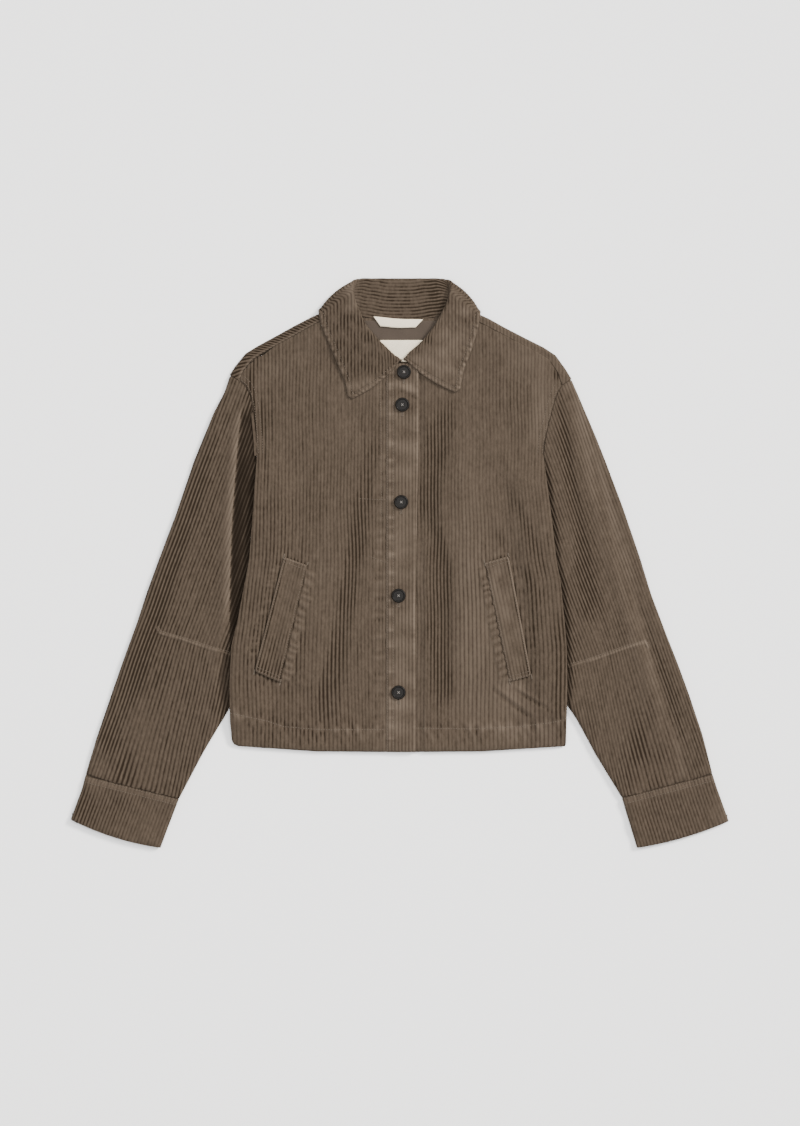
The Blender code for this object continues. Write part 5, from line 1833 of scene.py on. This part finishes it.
class OvershirtSettings(bpy.types.PropertyGroup):
    colours: PointerProperty(type=OvershirtColours, name="Colours",
                             description="Colours of the overshirt")
    cloth: PointerProperty(type=OvershirtCloth, name="Cloth", description="Texture of the cloth")
    sewing: PointerProperty(type=OvershirtSewing, name="Sewing",
                            description="Sizes of the stitching")
    stage: PointerProperty(type=OvershirtStage, name="Stage",
                           description="Floor, lights and camera")


class OVERSHIRT_OT_back(bpy.types.Operator):
    """Build the back, with its shoulders folded over to the front"""
    bl_idname = "overshirt.back"
    bl_label = "Back"

    def execute(self, context):
        back("back", look("corduroy"))
        return {"FINISHED"}


class OVERSHIRT_OT_fronts(bpy.types.Operator):
    """Build the two front panels"""
    bl_idname = "overshirt.fronts"
    bl_label = "Fronts"

    def execute(self, context):
        front(-1, "front_right", look("corduroy"))
        front(1, "front_left", look("corduroy"))
        return {"FINISHED"}


class OVERSHIRT_OT_sleeves(bpy.types.Operator):
    """Build the two sleeves"""
    bl_idname = "overshirt.sleeves"
    bl_label = "Sleeves"

    def execute(self, context):
        sleeve(-1, "sleeve_right", look("corduroy"))
        sleeve(1, "sleeve_left", look("corduroy"))
        return {"FINISHED"}


class OVERSHIRT_OT_cuffs(bpy.types.Operator):
    """Build the two doubled cuffs"""
    bl_idname = "overshirt.cuffs"
    bl_label = "Cuffs"

    def execute(self, context):
        cuff(-1, "cuff_right", look("corduroy"))
        cuff(1, "cuff_left", look("corduroy"))
        return {"FINISHED"}


class OVERSHIRT_OT_placket(bpy.types.Operator):
    """Build the buttonhole band"""
    bl_idname = "overshirt.placket"
    bl_label = "Placket"

    def execute(self, context):
        placket("placket", look("corduroy"))
        return {"FINISHED"}


class OVERSHIRT_OT_welts(bpy.types.Operator):
    """Build the two slanted pocket welts"""
    bl_idname = "overshirt.welts"
    bl_label = "Pocket welts"

    def execute(self, context):
        welt("welt_right", look("corduroy"))
        welt("welt_left", look("corduroy"))
        return {"FINISHED"}


class OVERSHIRT_OT_collar(bpy.types.Operator):
    """Build the collar, its stand and fall in one"""
    bl_idname = "overshirt.collar"
    bl_label = "Collar"

    def execute(self, context):
        collar("collar", look("corduroy"))
        return {"FINISHED"}


class OVERSHIRT_OT_neck(bpy.types.Operator):
    """Build the facing, the hanger loop and the bare label inside the neck"""
    bl_idname = "overshirt.neck"
    bl_label = "Neck facing, loop and label"

    def execute(self, context):
        neck_pieces(look("facing"), look("tape"))
        return {"FINISHED"}


class OVERSHIRT_OT_buttons(bpy.types.Operator):
    """Build the five buttons and the thread that holds them"""
    bl_idname = "overshirt.buttons"
    bl_label = "Buttons"

    def execute(self, context):
        buttons(look("horn"), look("button_thread"))
        return {"FINISHED"}


class OVERSHIRT_OT_stitches(bpy.types.Operator):
    """Lay the topstitching and the buttonholes on the cloth already built"""
    bl_idname = "overshirt.stitches"
    bl_label = "Stitching"

    def execute(self, context):
        stitches(look("thread"))
        return {"FINISHED"}


class OVERSHIRT_OT_stage(bpy.types.Operator):
    """Set the floor, the lights and the camera"""
    bl_idname = "overshirt.stage"
    bl_label = "Stage"

    def execute(self, context):
        stage()
        return {"FINISHED"}


OPERATORS = (
    OVERSHIRT_OT_back, OVERSHIRT_OT_fronts, OVERSHIRT_OT_sleeves, OVERSHIRT_OT_cuffs,
    OVERSHIRT_OT_placket, OVERSHIRT_OT_welts, OVERSHIRT_OT_collar, OVERSHIRT_OT_neck,
    OVERSHIRT_OT_buttons, OVERSHIRT_OT_stitches, OVERSHIRT_OT_stage,
)


class OVERSHIRT_PT_build(bpy.types.Panel):
    """Lists the overshirt's sizes, colours and pieces"""
    bl_idname = "OVERSHIRT_PT_build"
    bl_label = "Overshirt"
    bl_space_type = "VIEW_3D"
    bl_region_type = "UI"
    bl_category = "Overshirt"

    def draw(self, context):
        chosen = context.scene.overshirt
        for group in (chosen.colours, chosen.cloth, chosen.sewing, chosen.stage):
            box = self.layout.box()
            for name in group.__annotations__:
                box.prop(group, name)
        for operator in OPERATORS:
            self.layout.operator(operator.bl_idname)


CLASSES = (OvershirtColours, OvershirtCloth, OvershirtSewing, OvershirtStage, OvershirtSettings,
           *OPERATORS, OVERSHIRT_PT_build)


def register():
    """Makes the settings, the operators and the panel known."""
    for each in CLASSES:
        bpy.utils.register_class(each)
    bpy.types.Scene.overshirt = PointerProperty(type=OvershirtSettings)


def unregister():
    """Takes them away again."""
    del bpy.types.Scene.overshirt
    for each in reversed(CLASSES):
        bpy.utils.unregister_class(each)


def main():
    """Builds every piece, then the stage."""
    register()
    for operator in OPERATORS:
        getattr(bpy.ops.overshirt, operator.bl_idname.split(".")[1])()


if __name__ == "__main__":
    main()
